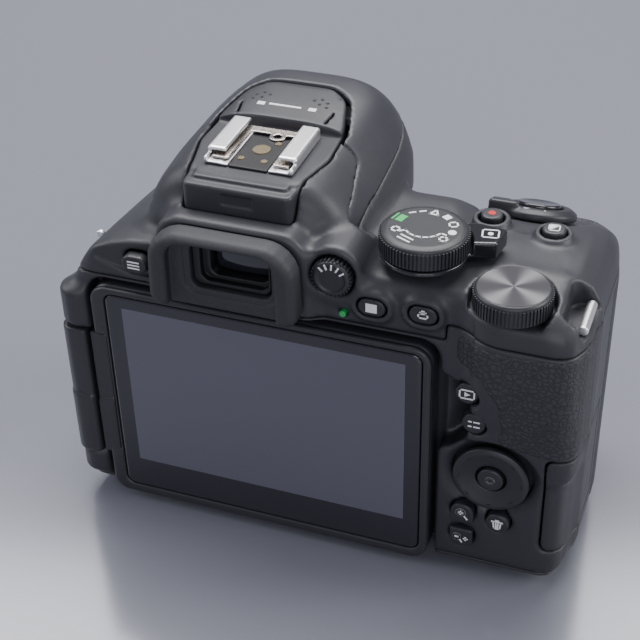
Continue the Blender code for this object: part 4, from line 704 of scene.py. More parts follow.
# ---------------------------------------------------------------- repeated pieces
def repeat_tree(name, paint, on_ring):
    """A node tree that sets boxes round a ring, or pegs at the points of the mesh, and joins them to it."""
    tree = bpy.data.node_groups.new(name, "GeometryNodeTree")
    face = tree.interface
    face.new_socket(name="Geometry", in_out="INPUT", socket_type="NodeSocketGeometry")
    for key, kind in (("Count", "Int"), ("Radius", "Float"), ("Size", "Vector"), ("Centre", "Vector"),
                      ("Turn", "Vector")):
        face.new_socket(name=key, in_out="INPUT", socket_type="NodeSocket" + kind)
    face.new_socket(name="Geometry", in_out="OUTPUT", socket_type="NodeSocketGeometry")
    add, link = tree.nodes.new, tree.links.new
    start, end = add("NodeGroupInput"), add("NodeGroupOutput")
    place = add("GeometryNodeInstanceOnPoints")
    if on_ring:
        ring = add("GeometryNodeMeshCircle")
        link(start.outputs["Count"], ring.inputs["Vertices"])
        link(start.outputs["Radius"], ring.inputs["Radius"])
        link(ring.outputs[0], place.inputs["Points"])
        face_out = add("FunctionNodeAlignRotationToVector")
        face_out.axis = "X"
        link(add("GeometryNodeInputPosition").outputs[0], face_out.inputs["Vector"])
        link(face_out.outputs[0], place.inputs["Rotation"])
        shape = add("GeometryNodeMeshCube")
        link(start.outputs["Size"], shape.inputs["Size"])
    else:
        link(start.outputs["Geometry"], place.inputs["Points"])
        shape = add("GeometryNodeMeshCylinder")
        link(start.outputs["Count"], shape.inputs["Vertices"])
        link(start.outputs["Radius"], shape.inputs["Radius"])
        split = add("ShaderNodeSeparateXYZ")
        link(start.outputs["Size"], split.inputs[0])
        link(split.outputs[2], shape.inputs["Depth"])
    link(shape.outputs[0], place.inputs["Instance"])
    move = add("GeometryNodeTransform")
    link(place.outputs[0], move.inputs["Geometry"])
    link(start.outputs["Centre"], move.inputs["Translation"])
    link(start.outputs["Turn"], move.inputs["Rotation"])
    gather = add("GeometryNodeJoinGeometry")
    link(move.outputs[0], gather.inputs[0])
    if on_ring:
        link(start.outputs["Geometry"], gather.inputs[0])
    real, coat = add("GeometryNodeRealizeInstances"), add("GeometryNodeSetMaterial")
    coat.inputs["Material"].default_value = paint
    link(gather.outputs[0], real.inputs[0])
    link(real.outputs[0], coat.inputs["Geometry"])
    link(coat.outputs[0], end.inputs[0])
    return tree


def repeated(obj, paint, on_ring=True, **values):
    """Runs the node tree on a piece and keeps the result as its plain mesh."""
    tree = repeat_tree(obj.name + " repeats", paint, on_ring)
    mod = obj.modifiers.new("repeats", "NODES")
    mod.node_group = tree
    for item in tree.interface.items_tree:
        if item.in_out == "INPUT" and item.name in values:
            mod[item.identifier] = values[item.name]
    made = bpy.data.meshes.new_from_object(obj.evaluated_get(bpy.context.evaluated_depsgraph_get()))
    obj.modifiers.clear()
    obj.data = made
    made.materials.clear()
    made.materials.append(paint)
    made.polygons.foreach_set("material_index", [0] * len(made.polygons))
    return obj


# ---------------------------------------------------------------- small carved pieces
def room(node, spare=1.0, step=0.22):
    """A fine carving space round a CAD node, with its box in mm."""
    low, high = (tuple(c * 1000 for c in v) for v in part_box(node))
    return Space([c - spare for c in low], [c + spare for c in high], step), low, high


def make_monitor(look):
    """The turning monitor: arm, case, rim, glass and the display under it."""
    s = Space((-54.5, -30.5, 0.5), (30, -20.5, 65), 0.35)
    case = [(-53.0, 1.9, 4.0), (28.4, 1.9, 4.0), (28.4, 63.3, 4.0), (-53.0, 63.3, 4.0)]
    glass = [(-49.2, 4.7, 2.2), (26.3, 4.7, 2.2), (26.3, 61.6, 2.2), (-49.2, 61.6, 2.2)]
    notch = s.box((-60, -32, 15.2), (-49.9, -20, 50.0), 0.3)
    body = cut(s.plate(case, -27.5, -22.0, "Y", 1.0), notch, 0.3)
    settle(s.mesh("look_monitor_case", body, PAINTS["case"], look.thrift), "monitor", ("monitor_case",))
    rim = s.plate(case, -29.0, -27.4, "Y", 0.75)
    rim = cut(cut(rim, s.plate(glass, -31, -25, "Y", 0.0) - 0.22, 0.25), notch, 0.3)
    settle(s.mesh("look_monitor_rim", rim, PAINTS["case"], look.thrift), "monitor", ("monitor_rim",))
    pane = s.plate(glass, -28.8, -27.9, "Y", 0.2)
    pane = settle(s.mesh("look_monitor_glass", pane, PAINTS["glass"], look.thrift), "monitor",
                  ("monitor_glass",))
    mark(pane, [filled([(-45.0, 13.5), (22.6, 13.5), (22.6, 58.6), (-45.0, 58.6)])], PAINTS["screen"],
         (0, -28.8, 0), (1, 0, 0), (0, 0, 1), thick=0.03)
    fine = Space((-63, -31, 8), (-46.5, -20, 55), 0.3)
    barrel = fine.plate([(-62.2, -29.3, 3.2), (-55.3, -29.3, 1.0), (-55.3, -21.4, 1.0), (-62.2, -21.4, 3.5)],
                        13.2, 50.0, "Z", 0.35)
    barrel = rmin(barrel, fine.plate([(-62.2, -29.8, 3.4), (-55.3, -29.8, 1.0), (-55.3, -21.4, 1.0),
                                      (-62.2, -21.4, 3.5)],
                                     13.2, 30.6, "Z", 0.35), 0.5)
    leaf = fine.plate([(-54.6, 13.6, 0.5), (-50.1, 13.6, 0.5), (-50.1, 49.6, 0.5), (-54.6, 49.6, 0.5)],
                      -28.4, -21.4, "Y", 0.4)
    leaf = rmin(leaf, fine.plate([(-54.6, 13.6, 0.5), (-50.1, 13.6, 0.5), (-50.1, 31.2, 0.5),
                                  (-54.6, 29.6, 0.5)],
                                 -28.9, -21.4, "Y", 0.4), 0.3)
    web = fine.box((-58, -24.5, 16.0), (-52, -21.4, 47.0), 0.3)
    arm = rmin(rmin(barrel, leaf), web, 0.5)
    settle(fine.mesh("look_monitor_arm", arm, PAINTS["case"], look.thrift), "monitor", ("monitor_arm",))
    panel = Space((-48, -28, 6), (25, -23, 60), 0.5)
    sheet = panel.box((-46.9, -27.4, 7.0), (24.0, -24.0, 59.3), 0.3)
    settle(panel.mesh("look_monitor_panel", sheet, PAINTS["black"], 0.1), "monitor", ("monitor_panel",))


def make_finder(look):
    """The eyecup, the frame in its window, and the eyepiece lens."""
    s = Space((-36, -36, 64), (2, -27, 87), 0.28)
    outer = [(-34.6, 65.9, 3.0), (0.0, 65.9, 3.0), (-0.6, 85.0, 7.5), (-34.0, 85.0, 7.5)]
    cup = s.plate(outer, -35.0, -28.3, "Y", 2.2)
    shelf = s.plate([(-30.0, 60.0, 0), (-4.6, 60.0, 0), (-5.0, 82.7, 4.0), (-29.6, 82.7, 4.0)], -40.0, -32.3,
                    "Y", 0.2)
    cup = cut(cup, shelf, 1.1)
    cup = cut(cup, s.pill((AXIS_X + 1.5, 76.3), 18.6, 11.2, -40, -20, "Y", 2.2), 0.8)
    cup = cut(cup, s.pill((AXIS_X + 1.5, 76.3), 21.4, 13.6, -40, -31.7, "Y", 3.0), 0.5)
    settle(s.mesh("look_eyecup", cup, PAINTS["soft"], look.thrift), "camera", ("eyecup",))
    s = Space((-28, -32, 68), (-5, -17, 84), 0.25)
    frame_field = s.pill((AXIS_X + 1.3, 76.4), 18.2, 10.8, -30.6, -18.2, "Y", 2.0, 0.4)
    frame_field = cut(frame_field, s.pill((AXIS_X + 2.6, 77.2), 13.4, 8.2, -40, -10, "Y", 1.8, 0), 0.5)
    frame_field = cut(frame_field, s.pill((AXIS_X + 2.0, 76.9), 15.6, 9.4, -40, -29.0, "Y", 2.0, 0), 0.4)
    settle(s.mesh("look_eyepiece_frame", frame_field, PAINTS["black"], 0.0), "camera", ("eyepiece_frame",))
    bulge = ((s.x - AXIS_X - 2.6) ** 2 + (s.z - 77.2) ** 2) * 0.012
    lens = rmax(s.pill((AXIS_X + 2.6, 77.2), 13.0, 7.8, -40, -18, "Y", 1.7, 0),
                np.abs(s.y + 25.5 - bulge) - 1.4, 0.2)
    settle(s.mesh("look_eyepiece_lens", lens, PAINTS["lens"], 0.0), "camera", ("eyepiece_lens",))


def top_at(obj, x, y):
    """Height in mm of a finished piece's upper surface above a point."""
    tree = BVHTree.FromPolygons([v.co for v in obj.data.vertices],
                                [tuple(f.vertices) for f in obj.data.polygons])
    return tree.ray_cast(Vector((x * MM, y * MM, 0.3)), Vector((0, 0, -1)))[0].z * 1000


def make_shoe(look):
    """The plate and block that hold the accessory shoe, its rails, spring and contacts."""
    s = Space((-35, -26, 82), (0, 20, 98), 0.3)
    plan = outline(s.x, s.y, panel_plan(-0.2))
    roof = hump(s)
    floor_line = outline(s.y, s.z, [(-30, 82, 0), (30, 82, 0), (30, 110, 0), (3.4, 110, 0), (3.2, 92.6, 0.6),
                                    (-30, 92.0, 0)])
    plate = rmax(rmax(rmax(plan, roof, 0.5), 87.5 - s.z), floor_line, 0.4)
    block = s.plate(block_plan(), 83.5, 91.4, "Z", 0.7)
    ledge = s.plate([(-28.4, -21.0, 1.0), (-6.2, -21.0, 1.0), (-6.2, 2.6, 1.0), (-28.4, 2.6, 1.0)], 88.0,
                    92.2, "Z", 0.45)
    plate = rmin(plate, rmin(block, ledge, 0.3), 0.3)
    plate = cut(plate, s.box((-20.6, -24.6, 87.2), (-13.4, -23.1, 90.0), 0.2), 0.1)
    step = s.plate([(-27.6, 3.2, 0.5), (-7.0, 3.2, 0.5), (-6.0, 9.0, 3), (-8.0, 12.0, 3), (-26.6, 12.0, 3),
                    (-28.6, 9.0, 3)],
                   92.5, 98.0, "Z", 0.0)
    plate = cut(plate, rmax(np.abs(step) - 0.24, np.maximum(np.maximum(93.4 - s.z, s.y - 9.0), 4.2 - s.y)),
                0.1)
    obj = settle(s.mesh("look_shoe_plate", plate, PAINTS["shell"], look.thrift), "camera", ("shoe_plate",))
    dashes = [[(x, 0), (x + 0.6, 0)] for x in (-3.9, -2.6, -1.3, 0.0, 1.3, 2.6)]
    for shift, lines in ((-6.2, [filled(square(0.9, 0.6)[:4])]), (0.0, dashes),
                         (6.2, [filled(square(0.9, 0.6)[:4])])):
        near, far = (top_at(obj, AXIS_X + shift, y) for y in (7.0, 9.0))
        mark(obj, lines, PAINTS["ink"], (AXIS_X + shift, 8.0, (near + far) / 2 + 0.03), (1, 0, 0),
             (0, 2.0, far - near), 0.6)
    # Painted shade: black pegs stand just proud of the plate where the microphone holes are, in place of the
    # shaded insides of holes that are not cut.
    hole_shade_pegs = bpy.data.objects.new("look_microphone_holes", bpy.data.meshes.new("look_microphone_holes"))
    bpy.context.scene.collection.objects.link(hole_shade_pegs)
    cluster = ((5.4, 11.8), (7.0, 12.6), (8.6, 11.6), (7.0, 10.6), (8.9, 9.9))
    places = [(AXIS_X + side * x, y) for side in (-1, 1) for x, y in cluster]
    hole_shade_pegs.data.from_pydata([(x * MM, y * MM, (top_at(obj, x, y) - 0.2) * MM) for x, y in places], [], [])
    repeated(hole_shade_pegs, PAINTS["black"], False, Count=12, Radius=0.42 * MM, Size=(0, 0, 0.5 * MM))
    settle(hole_shade_pegs, "camera", ())
    s = Space((-29, -17.5, 91), (-5.5, 3.8, 96.5), 0.18)
    rails = s.box((-27.7, -16.0, 92.3), (-6.9, 2.2, 95.3), 0.7)
    rails = cut(rails, s.box((-26.7, -19.0, 93.1), (-7.9, 5.0, 94.3), 0.3), 0.25)
    rails = cut(rails, s.box((-23.4, -19.0, 93.1), (-11.2, 5.0, 99.0), 0.0), 0.35)
    rails = cut(rails, s.box((-22.0, -19.0, 90.0), (-12.6, 5.0, 99.0), 0.0), 0.2)
    rails = cut(rails, s.box((-30.0, -19.0, 94.2), (-4.0, -13.6, 99.0), 0.0), 0.9)
    settle(s.mesh("look_hot_shoe_rails", rails, PAINTS["steel"], 0.0), "camera", ("hot_shoe_rails",))
    strip = np.abs(s.z - 93.35 - 0.25 * np.sin((s.y + 16) / 3.0)) - 0.27
    plan = cut(s.box((-26.2, -14.5, 90), (-8.4, 1.7, 99), 0.0),
               s.box((-22.4, -20, 90), (-12.2, -0.6, 99), 0.0), 0.8)
    plan = rmin(plan, s.disc((-15.9, -1.4), 1.9, 90, 99), 0.4)
    plan = cut(plan, s.disc((-15.9, -1.4), 0.9, 90, 99))
    spring = rmax(plan, strip, 0.05)
    settle(s.mesh("look_shoe_spring", spring, PAINTS["spring"], 0.0), "camera", ("shoe_spring",))
    plug = s.box((-21.8, -16.0, 91.9), (-12.8, -1.6, 92.9), 0.2)
    obj = settle(s.mesh("look_shoe_contacts", plug, PAINTS["black"], 0.0), "camera", ("shoe_contacts",))
    for x, y, r in ((0, 0, 2.0), (-2.9, -4.8, 0.75), (2.5, -4.9, 0.75), (2.7, 3.4, 0.75)):
        mark(obj, [filled(ring_line(r, 0, 345, 24))], PAINTS["gold"], (AXIS_X + x, -7.6 + y, 92.9),
             (1, 0, 0), (0, 1, 0), thick=0.22)


def dial_mark(obj, lines, degrees, radius, top, paint="ink", centre=MODE_DIAL, scale=1.0):
    """A printed mark on a dial's top, upright toward the rim."""
    a = math.radians(degrees)
    out = Vector((math.cos(a), math.sin(a), 0))
    origin = Vector((*centre, top)) + out * radius
    mark(obj, lines, PAINTS[paint], origin, (out.y, -out.x, 0), out, 0.4, scale)


def make_dials(look):
    """Both dials, the lever, the power switch, the shutter button and the eyesight dial."""
    s, low, high = room("mode_dial", 1.2, 0.25)
    dial = s.turned([(-5, 81.5, 0), (9.2, 81.5, 0.5), (9.3, 86.3, 0.7), (7.9, 86.8, 0.3), (-5, 86.8, 0)],
                    MODE_DIAL)
    dial = rmin(dial, s.disc(MODE_DIAL, 2.4, 75.0, 82.0))
    obj = s.mesh("look_mode_dial", dial, PAINTS["button"], 0.0)
    repeated(obj, PAINTS["button"], Count=72, Radius=9.25 * MM, Size=(0.8 * MM, 0.42 * MM, 3.7 * MM),
             Centre=(23.0 * MM, -17.8 * MM, 83.9 * MM))
    signs = {
        -35: [ring_line(0.85, 0, 360, 6)],
        -5: [filled(ring_line(0.8, 0, 330, 12))],
        25: [square(0.75)],
        55: [filled(square(0.7)[:4])],
        85: [[(-0.8, -0.7), (0.8, -0.7), (0, 0.9), (-0.8, -0.7)]],
        120: [[(-1.5, 0), (-0.5, 0)], [(0.5, 0), (1.5, 0)]],
        205: [ring_line(0.95, 0, 360, 5)],
        245: [[(-1.3, 0.5), (1.3, 0.5)], [(-1.3, -0.5), (1.3, -0.5)]],
    }
    for degrees, lines in signs.items():
        dial_mark(obj, lines, degrees, 6.1, 86.83, scale=1.15)
    dial_mark(obj, [filled(square(1.1, 0.7)[:4]), [(-1.0, 1.3), (1.0, 1.3)]], 162, 5.9, 86.83, "green",
              scale=1.2)
    dial_mark(obj, [ring_line(4.2, -55, 70, 7)], 0, 0, 86.83)
    ends = [(math.cos(math.radians(a)), math.sin(math.radians(a))) for a in (-55, 70)]
    dial_mark(obj, [[(4.2 * c, 4.2 * d), (5.4 * c, 5.4 * d)] for c, d in ends], 0, 0, 86.83)
    settle(obj, "mode_dial", ("mode_dial",))
    s, low, high = room("live_view_lever", 1.0, 0.25)
    lever = s.turned([(3.1, 80.3, 0), (9.4, 80.3, 0.2), (9.4, 81.3, 0.2), (3.1, 81.3, 0)], MODE_DIAL)
    lever = rmin(lever, s.turned([(3.1, 76, 0), (3.9, 76, 0), (3.9, 80.6, 0), (3.1, 80.6, 0)], MODE_DIAL))
    tab = s.plate([(31.0, -17.5, 0.5), (38.0, -15.6, 0.8), (39.0, -9.2, 1.0), (32.0, -8.4, 1.0),
                   (28.0, -10.0, 0.5)], 80.4, 84.2, "Z", 0.5)
    tab = cut(cut(tab, s.disc(MODE_DIAL, 10.25, 81.3, 99), 0.2), s.disc(COMMAND_DIAL, 10.2, 70, 99), 0.2)
    obj = s.mesh("look_live_view_lever", rmin(lever, tab, 0.3), PAINTS["gloss"], 0.0)
    mark(obj, [square(1.7, 1.5), filled(ring_line(0.6, 0, 330, 12))], PAINTS["ink"],
         (35.8, -12.2, 84.2), (1, 0.16, 0), (-0.16, 1, 0), 0.34)
    settle(obj, "live_view_lever", ("live_view_lever",))
    s, low, high = room("command_dial", 1.0, 0.25)
    dial = s.turned([(-5, 75.9, 0), (8.0, 75.9, 0.3), (8.05, 80.4, 0.5), (7.5, 80.9, 0.2), (-5, 80.9, 0)],
                    COMMAND_DIAL)
    dial = rmin(dial, s.disc(COMMAND_DIAL, 2.4, 71.8, 76.5))
    obj = s.mesh("look_command_dial", dial, PAINTS["button"], 0.0)
    repeated(obj, PAINTS["button"], Count=64, Radius=7.95 * MM, Size=(0.75 * MM, 0.42 * MM, 3.6 * MM),
             Centre=(44.0 * MM, -25.0 * MM, 78.2 * MM))
    # The dial's top disc takes the spun metal, whose colour carries painted highlight lobes and streaks.
    mark(obj, [filled(ring_line(7.3, 0, 354, 60))], PAINTS["spun"], (44.0, -25.0, 80.9), (1, 0, 0),
         (0, 1, 0), thick=0.06)
    settle(obj, "command_dial", ("command_dial",))
    base = RELEASE_Z
    flat = Space((28, 8, base - 6), (51, 29, base + 6), 0.25)
    ring = flat.turned([(5.7, base + 0.5, 0.2), (8.9, base + 0.5, 0.2), (8.9, base + 2.0, 0.8),
                        (7.4, base + 3.0, 0.6),
                        (5.7, base + 3.1, 0.4)], (RELEASE_X, RELEASE_Y))
    tab = flat.box((29.6, 11.2, base + 0.8), (36.5, 15.8, base + 4.0), 0.8)
    ring = rmin(ring, cut(tab, flat.disc((RELEASE_X, RELEASE_Y), 6.8, 0, 99), 0.3), 0.6)
    ring_obj = flat.mesh("look_power_switch", ring, PAINTS["button"], 0.0)
    mark(ring_obj, [ring_line(0.7)], PAINTS["ink"], (38.4, 12.0, base + 2.9), (1, 0, 0), (0, 1, -0.2), 0.3)
    mark(ring_obj, [[(0, -0.7), (0, 0.7)]], PAINTS["ink"], (42.6, 12.0, base + 2.9), (1, 0, 0), (0, 1, -0.2),
         0.34)
    dish = (((flat.x - RELEASE_X) ** 2 + (flat.y - RELEASE_Y) ** 2) * 0.014)
    knob = rmax(flat.disc((RELEASE_X, RELEASE_Y), 5.0, base - 3.0, base + 5.0, "Z", 0.3),
                flat.z - base - 3.5 - dish, 0.5)
    knob_obj = flat.mesh("look_shutter_button", knob, PAINTS["gloss"], 0.0)
    tilt = Matrix.Translation((0, RELEASE_Y * MM, base * MM)) @ Matrix.Rotation(-SLOPE, 4, "X")
    tilt = tilt @ Matrix.Translation((0, -RELEASE_Y * MM, -(base + SINK) * MM))
    for obj in (ring_obj, knob_obj):
        obj.data.transform(tilt)
    settle(ring_obj, "power_switch", ("power_switch",))
    settle(knob_obj, "shutter_button", ("shutter_button",))
    s, low, high = room("diopter_dial", 0.8, 0.2)
    dial = s.turned([(-3, -28.6, 0), (2.9, -28.6, 0.2), (3.4, -29.0, 0.2), (4.2, -28.7, 0.4),
                     (4.3, -20.2, 0.3), (-3, -20.2, 0)],
                    DIOPTER, "Y")
    obj = s.mesh("look_diopter_dial", dial, PAINTS["button"], 0.0)
    repeated(obj, PAINTS["button"], Count=30, Radius=4.25 * MM, Size=(0.6 * MM, 0.5 * MM, 3.0 * MM),
             Centre=(5.9 * MM, -27.0 * MM, 77.1 * MM), Turn=(math.pi / 2, 0, 0))
    for a in (35, 60, 85, 110, 135):
        c, d = math.cos(math.radians(a)), math.sin(math.radians(a))
        mark(obj, [[(2.6 * c, 2.6 * d), (3.5 * c, 3.5 * d)]], PAINTS["ink"], (5.9, -29.0, 77.1), (1, 0, 0),
             (0, 0, 1), 0.35)
    settle(obj, "diopter_dial", ("diopter_dial",))


def make_buttons(look):
    """Every push button, with its printed sign."""
    for name in ("playback_button", "i_button", "delete_button", "zoom_in_button", "zoom_out_button",
                 "menu_button",
                 "info_button", "lock_button", "ok_button"):
        s, low, high = room(name, 0.8, 0.2)
        cx, cz = (low[0] + high[0]) / 2, (low[2] + high[2]) / 2
        wide, tall = high[0] - low[0], high[2] - low[2]
        if name.startswith("zoom"):
            r = (0.4, 2.5) if name == "zoom_in_button" else (1.8, 0.4)
            cap = s.plate([(low[0], low[2], r[0]), (high[0], low[2], r[0]), (high[0], high[2], r[1]),
                           (low[0], high[2], r[1])],
                          low[1], high[1], "Y", 0.5)
        else:
            cap = s.pill((cx, cz), wide, tall, low[1], high[1], "Y", min(wide, tall) / 2, 0.55)
        obj = s.mesh("look_" + name, cap, PAINTS["button"], 0.0)
        mark(obj, ICONS[name], PAINTS["ink"], (cx, low[1], cz), (1, 0, 0), (0, 0, 1), 0.36)
        settle(obj, name, (name,))
    for name in ("movie_button", "exposure_button"):
        s, low, high = room(name, 0.8, 0.2)
        centre = ((low[0] + high[0]) / 2, (low[1] + high[1]) / 2)
        cap = s.disc(centre, (high[0] - low[0]) / 2, low[2], high[2] + 0.4, "Z", 0.5)
        obj = s.mesh("look_" + name, cap, PAINTS["button"], 0.0)
        spot = (*centre, high[2] + 0.4)
        if name == "movie_button":
            mark(obj, [filled(ring_line(0.85, 0, 340, 18))], PAINTS["red"], spot, (1, 0, 0), (0, 1, 0))
        else:
            mark(obj, [square(1.15), [(-1.1, -1.1), (1.1, 1.1)],
                       filled([(-1.1, -1.1), (1.1, 1.1), (-1.1, 1.1)])],
                 PAINTS["ink"], spot, (1, 0.1, 0), (-0.1, 1, 0), 0.26)
        settle(obj, name, (name,))
    s, low, high = room("multi_selector", 0.8, 0.22)
    centre = SELECTOR
    ring = s.turned([(3.5, -26.4, 0), (8.7, -26.4, 0.2), (8.7, -27.7, 0.4), (7.6, -28.2, 0.8),
                     (5.4, -27.6, 1.2), (3.5, -27.2, 0.3)],
                    centre, "Y")
    obj = s.mesh("look_multi_selector", ring, PAINTS["button"], 0.0)
    for k in range(8):
        a = math.radians(45 * k)
        c, d = math.cos(a), math.sin(a)
        tick = [[(7.1 * c - 0.4 * d, 7.1 * d + 0.4 * c), (7.1 * c + 0.4 * d, 7.1 * d - 0.4 * c)]]
        mark(obj, tick, PAINTS["black"], (*centre[:1], -28.05, centre[1]), (1, 0, 0), (0, 0, 1), 0.28)
    settle(obj, "multi_selector", ("multi_selector",))
    for name in ("flash_button", "function_button", "lens_release_button"):
        s, low, high = room(name, 0.8, 0.2)
        centre = ((low[0] + high[0]) / 2, (low[2] + high[2]) / 2)
        cap = s.disc(centre, (high[0] - low[0]) / 2, low[1], high[1], "Y", 0.6)
        settle(s.mesh("look_" + name, cap, PAINTS["button"], 0.0), name, (name,))


def make_metal(look):
    """The lens mount, strap lugs, tripod socket, lamps and windows."""
    s = Space((-49, 26.5, 11.5), (14.5, 31, 74.5), 0.35)
    centre = (AXIS_X, AXIS_Z)
    mount = cut(s.disc(centre, 30.0, 27.6, 30.0, "Y", 0.3), s.disc(centre, 22.0, 0, 99, "Y", 0), 0.3)
    for degrees in (20, 110, 200, 290):
        a = math.radians(degrees)
        mount = cut(mount, s.disc((AXIS_X + 26.5 * math.cos(a), AXIS_Z + 26.5 * math.sin(a)), 1.6, 29.2, 40,
                                  "Y", 0.2), 0.2)
    obj = settle(s.mesh("look_lens_mount", mount, PAINTS["steel"], 0.02), "camera", ("lens_mount",))
    # Painted shade: a black cross on the floor of each screw hole stands in for the shaded cross recess of a
    # screw head.
    for degrees in (20, 110, 200, 290):
        a = math.radians(degrees)
        x, z = AXIS_X + 26.5 * math.cos(a), AXIS_Z + 26.5 * math.sin(a)
        mark(obj, [[(-0.9, 0), (0.9, 0)], [(0, -0.9), (0, 0.9)]], PAINTS["black"], (x, 29.25, z), (-1, 0, 0),
             (0, 0, 1), 0.35)
    for name, x, z, back, ahead in (("strap_lug_right", 58.8, 73.2, -25.4, -15.1),
                                    ("strap_lug_left", -56.2, 68.0, -15.4, -4.4)):
        s, low, high = room(name, 0.8, 0.18)
        pin = s.disc((x, z), 1.1, back, ahead, "Y", 0.2)
        settle(s.mesh("look_" + name, pin, PAINTS["steel"], 0.0), "camera", (name,))
    s, low, high = room("tripod_socket", 0.8, 0.3)
    socket = cut(s.disc((AXIS_X, -2.0), 6.0, 0, 7, "Z", 0.3), s.disc((AXIS_X, -2.0), 3.2, -5, 6.0, "Z", 0),
                 0.4)
    screw = np.abs(np.mod(s.z + np.arctan2(s.y + 2.0, s.x - AXIS_X) / (2 * math.pi) * 1.27, 1.27)
                   - 0.63) - 0.3
    radial = np.hypot(s.x - AXIS_X, s.y + 2.0)
    socket = rmin(socket, rmax(rmax(screw * 0.7, 2.9 - radial),
                               rmax(radial - 3.5, rmax(s.z - 6.0, 0.6 - s.z))), 0.1)
    settle(s.mesh("look_tripod_socket", socket, PAINTS["steel"], 0.0), "camera", ("tripod_socket",))
    s, low, high = room("assist_lamp", 0.8, 0.2)
    lamp = rmax(s.disc((19.7, 70.1), 3.2, low[1], high[1], "Y", 0.5),
                s.y - high[1] + 0.03 * ((s.x - 19.7) ** 2 + (s.z - 70.1) ** 2), 0.2)
    settle(s.mesh("look_assist_lamp", lamp, PAINTS["lamp"], 0.0), "camera", ("assist_lamp",))
    s, low, high = room("status_light", 0.6, 0.12)
    lamp = s.disc((8.0, 67.8), 0.8, low[1] - 0.1, high[1], "Y", 0.3)
    settle(s.mesh("look_status_light", lamp, PAINTS["green"], 0.0), "camera", ("status_light",))
    s, low, high = room("flash_window", 1.0, 0.3)
    lamp = s.plate([(19.3, 86.8, 0.4), (24.1, 87.6, 0.4), (24.1, 89.9, 0.4), (19.3, 89.1, 0.4)], low[0],
                   high[0], "X", 0.3)
    lamp = cut(lamp, rmax(np.abs(np.mod(s.x, 1.6) - 0.8) - 0.15, s.z - 87.4 - 0.16 * (s.y - 19)), 0.05)
    settle(s.mesh("look_flash_window", lamp, PAINTS["lamp"], 0.0), "flash", ("flash_window",))


def make_skins(look, s, form):
    """Rubber skins, the card, battery and terminal doors, all cut from the body's own form."""
    thumb = outline(s.x, s.z, [(43.0, 41.6, 2), (56.4, 39.8, 2), (66, 42.5, 0), (66, 68.8, 0),
                               (57.2, 68.8, 1), (33.2, 68.0, 1.6),
                               (33.2, 60.8, 2), (39.0, 60.6, 4), (43.4, 54.0, 4), (44.3, 46.0, 1)])
    zone = rmax(rmax(thumb, s.y + 17.3, 0.3), s.x - 61.4, 0.3)
    skin = rmax(np.abs(form + 0.15) - 0.5, zone, 0.35)
    settle(s.mesh("look_thumb_rubber", skin, PAINTS["hide"], 0.0), "camera", ("thumb_rubber",))
    grip = outline(s.x, s.z, [(32.4, 6.6, 3), (66, 6.6, 0), (66, 67.3, 0), (32.4, 67.3, 5)])
    zone = rmax(rmax(grip, -0.2 - s.y, 0.3), -(s.x - 32.4), 0.3)
    skin = rmax(np.abs(form + 0.15) - 0.5, zone, 0.35)
    settle(s.mesh("look_grip_rubber", skin, PAINTS["hide"], 0.0), "camera", ("grip_rubber",))
    wall = np.maximum(form, -(form + 2.0))
    door = rmax(wall, s.plate([(54.5, 11.6, 2), (70, 11.6, 0), (70, 39.2, 0), (54.5, 39.2, 2)], -45, -2.8,
                              "Y", 0), 0.35)
    settle(s.mesh("look_card_door", door, PAINTS["shell"], look.thrift), "card_door", ("card_door",))
    fine, low, high = room("battery_door", 1.0, 0.3)
    door = fine.plate([(35, -12, 2), (57, -12, 4), (57, 25.5, 6), (35, 25.5, 4)], 0.0, 2.0, "Z", 0.4)
    door = cut(door, fine.box((46.4, 2.75, -1), (51.6, 10.75, 3), 0.0), 0.2)
    settle(fine.mesh("look_battery_door", door, PAINTS["shell"], look.thrift), "battery_door",
           ("battery_door",))
    fine, low, high = room("battery_latch", 0.8, 0.18)
    latch = fine.box(low, high, 0.3)
    for k in range(4):
        latch = cut(latch, fine.box((47.2 + 0.45 * k, 3.9, 0.0), (47.4 + 0.45 * k, 9.7, 0.55)), 0.05)
    settle(fine.mesh("look_battery_latch", latch, PAINTS["button"], 0.0), "battery_latch",
           ("battery_latch",))
    fine, low, high = room("terminal_cover", 1.0, 0.25)
    flap = fine.plate([(-12, 14, 2), (1.5, 14, 2), (1.5, 52, 2), (-12, 52, 2)], low[0], high[0], "X", 0.4)
    flap = cut(flap, fine.pill((-10.2, 33), 1.2, 9.0, -70, low[0] + 0.5, "X"), 0.2)
    settle(fine.mesh("look_terminal_cover", flap, PAINTS["soft"], look.thrift), "terminal_cover",
           ("terminal_cover",))


def paint_inside(look):
    """Gives the inner CAD pieces that stay in view their finishes."""
    plain = {"mirror_box": "black", "mirror_holder": "black", "reflex_mirror": "mirror",
             "shutter_unit": "black",
             "image_sensor": "glass", "pentaprism": "lens", "battery": "case", "battery_box": "black",
             "terminal_panel": "black"}
    for name, paint in plain.items():
        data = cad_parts[name].data
        data.materials.clear()
        data.materials.append(PAINTS[paint])


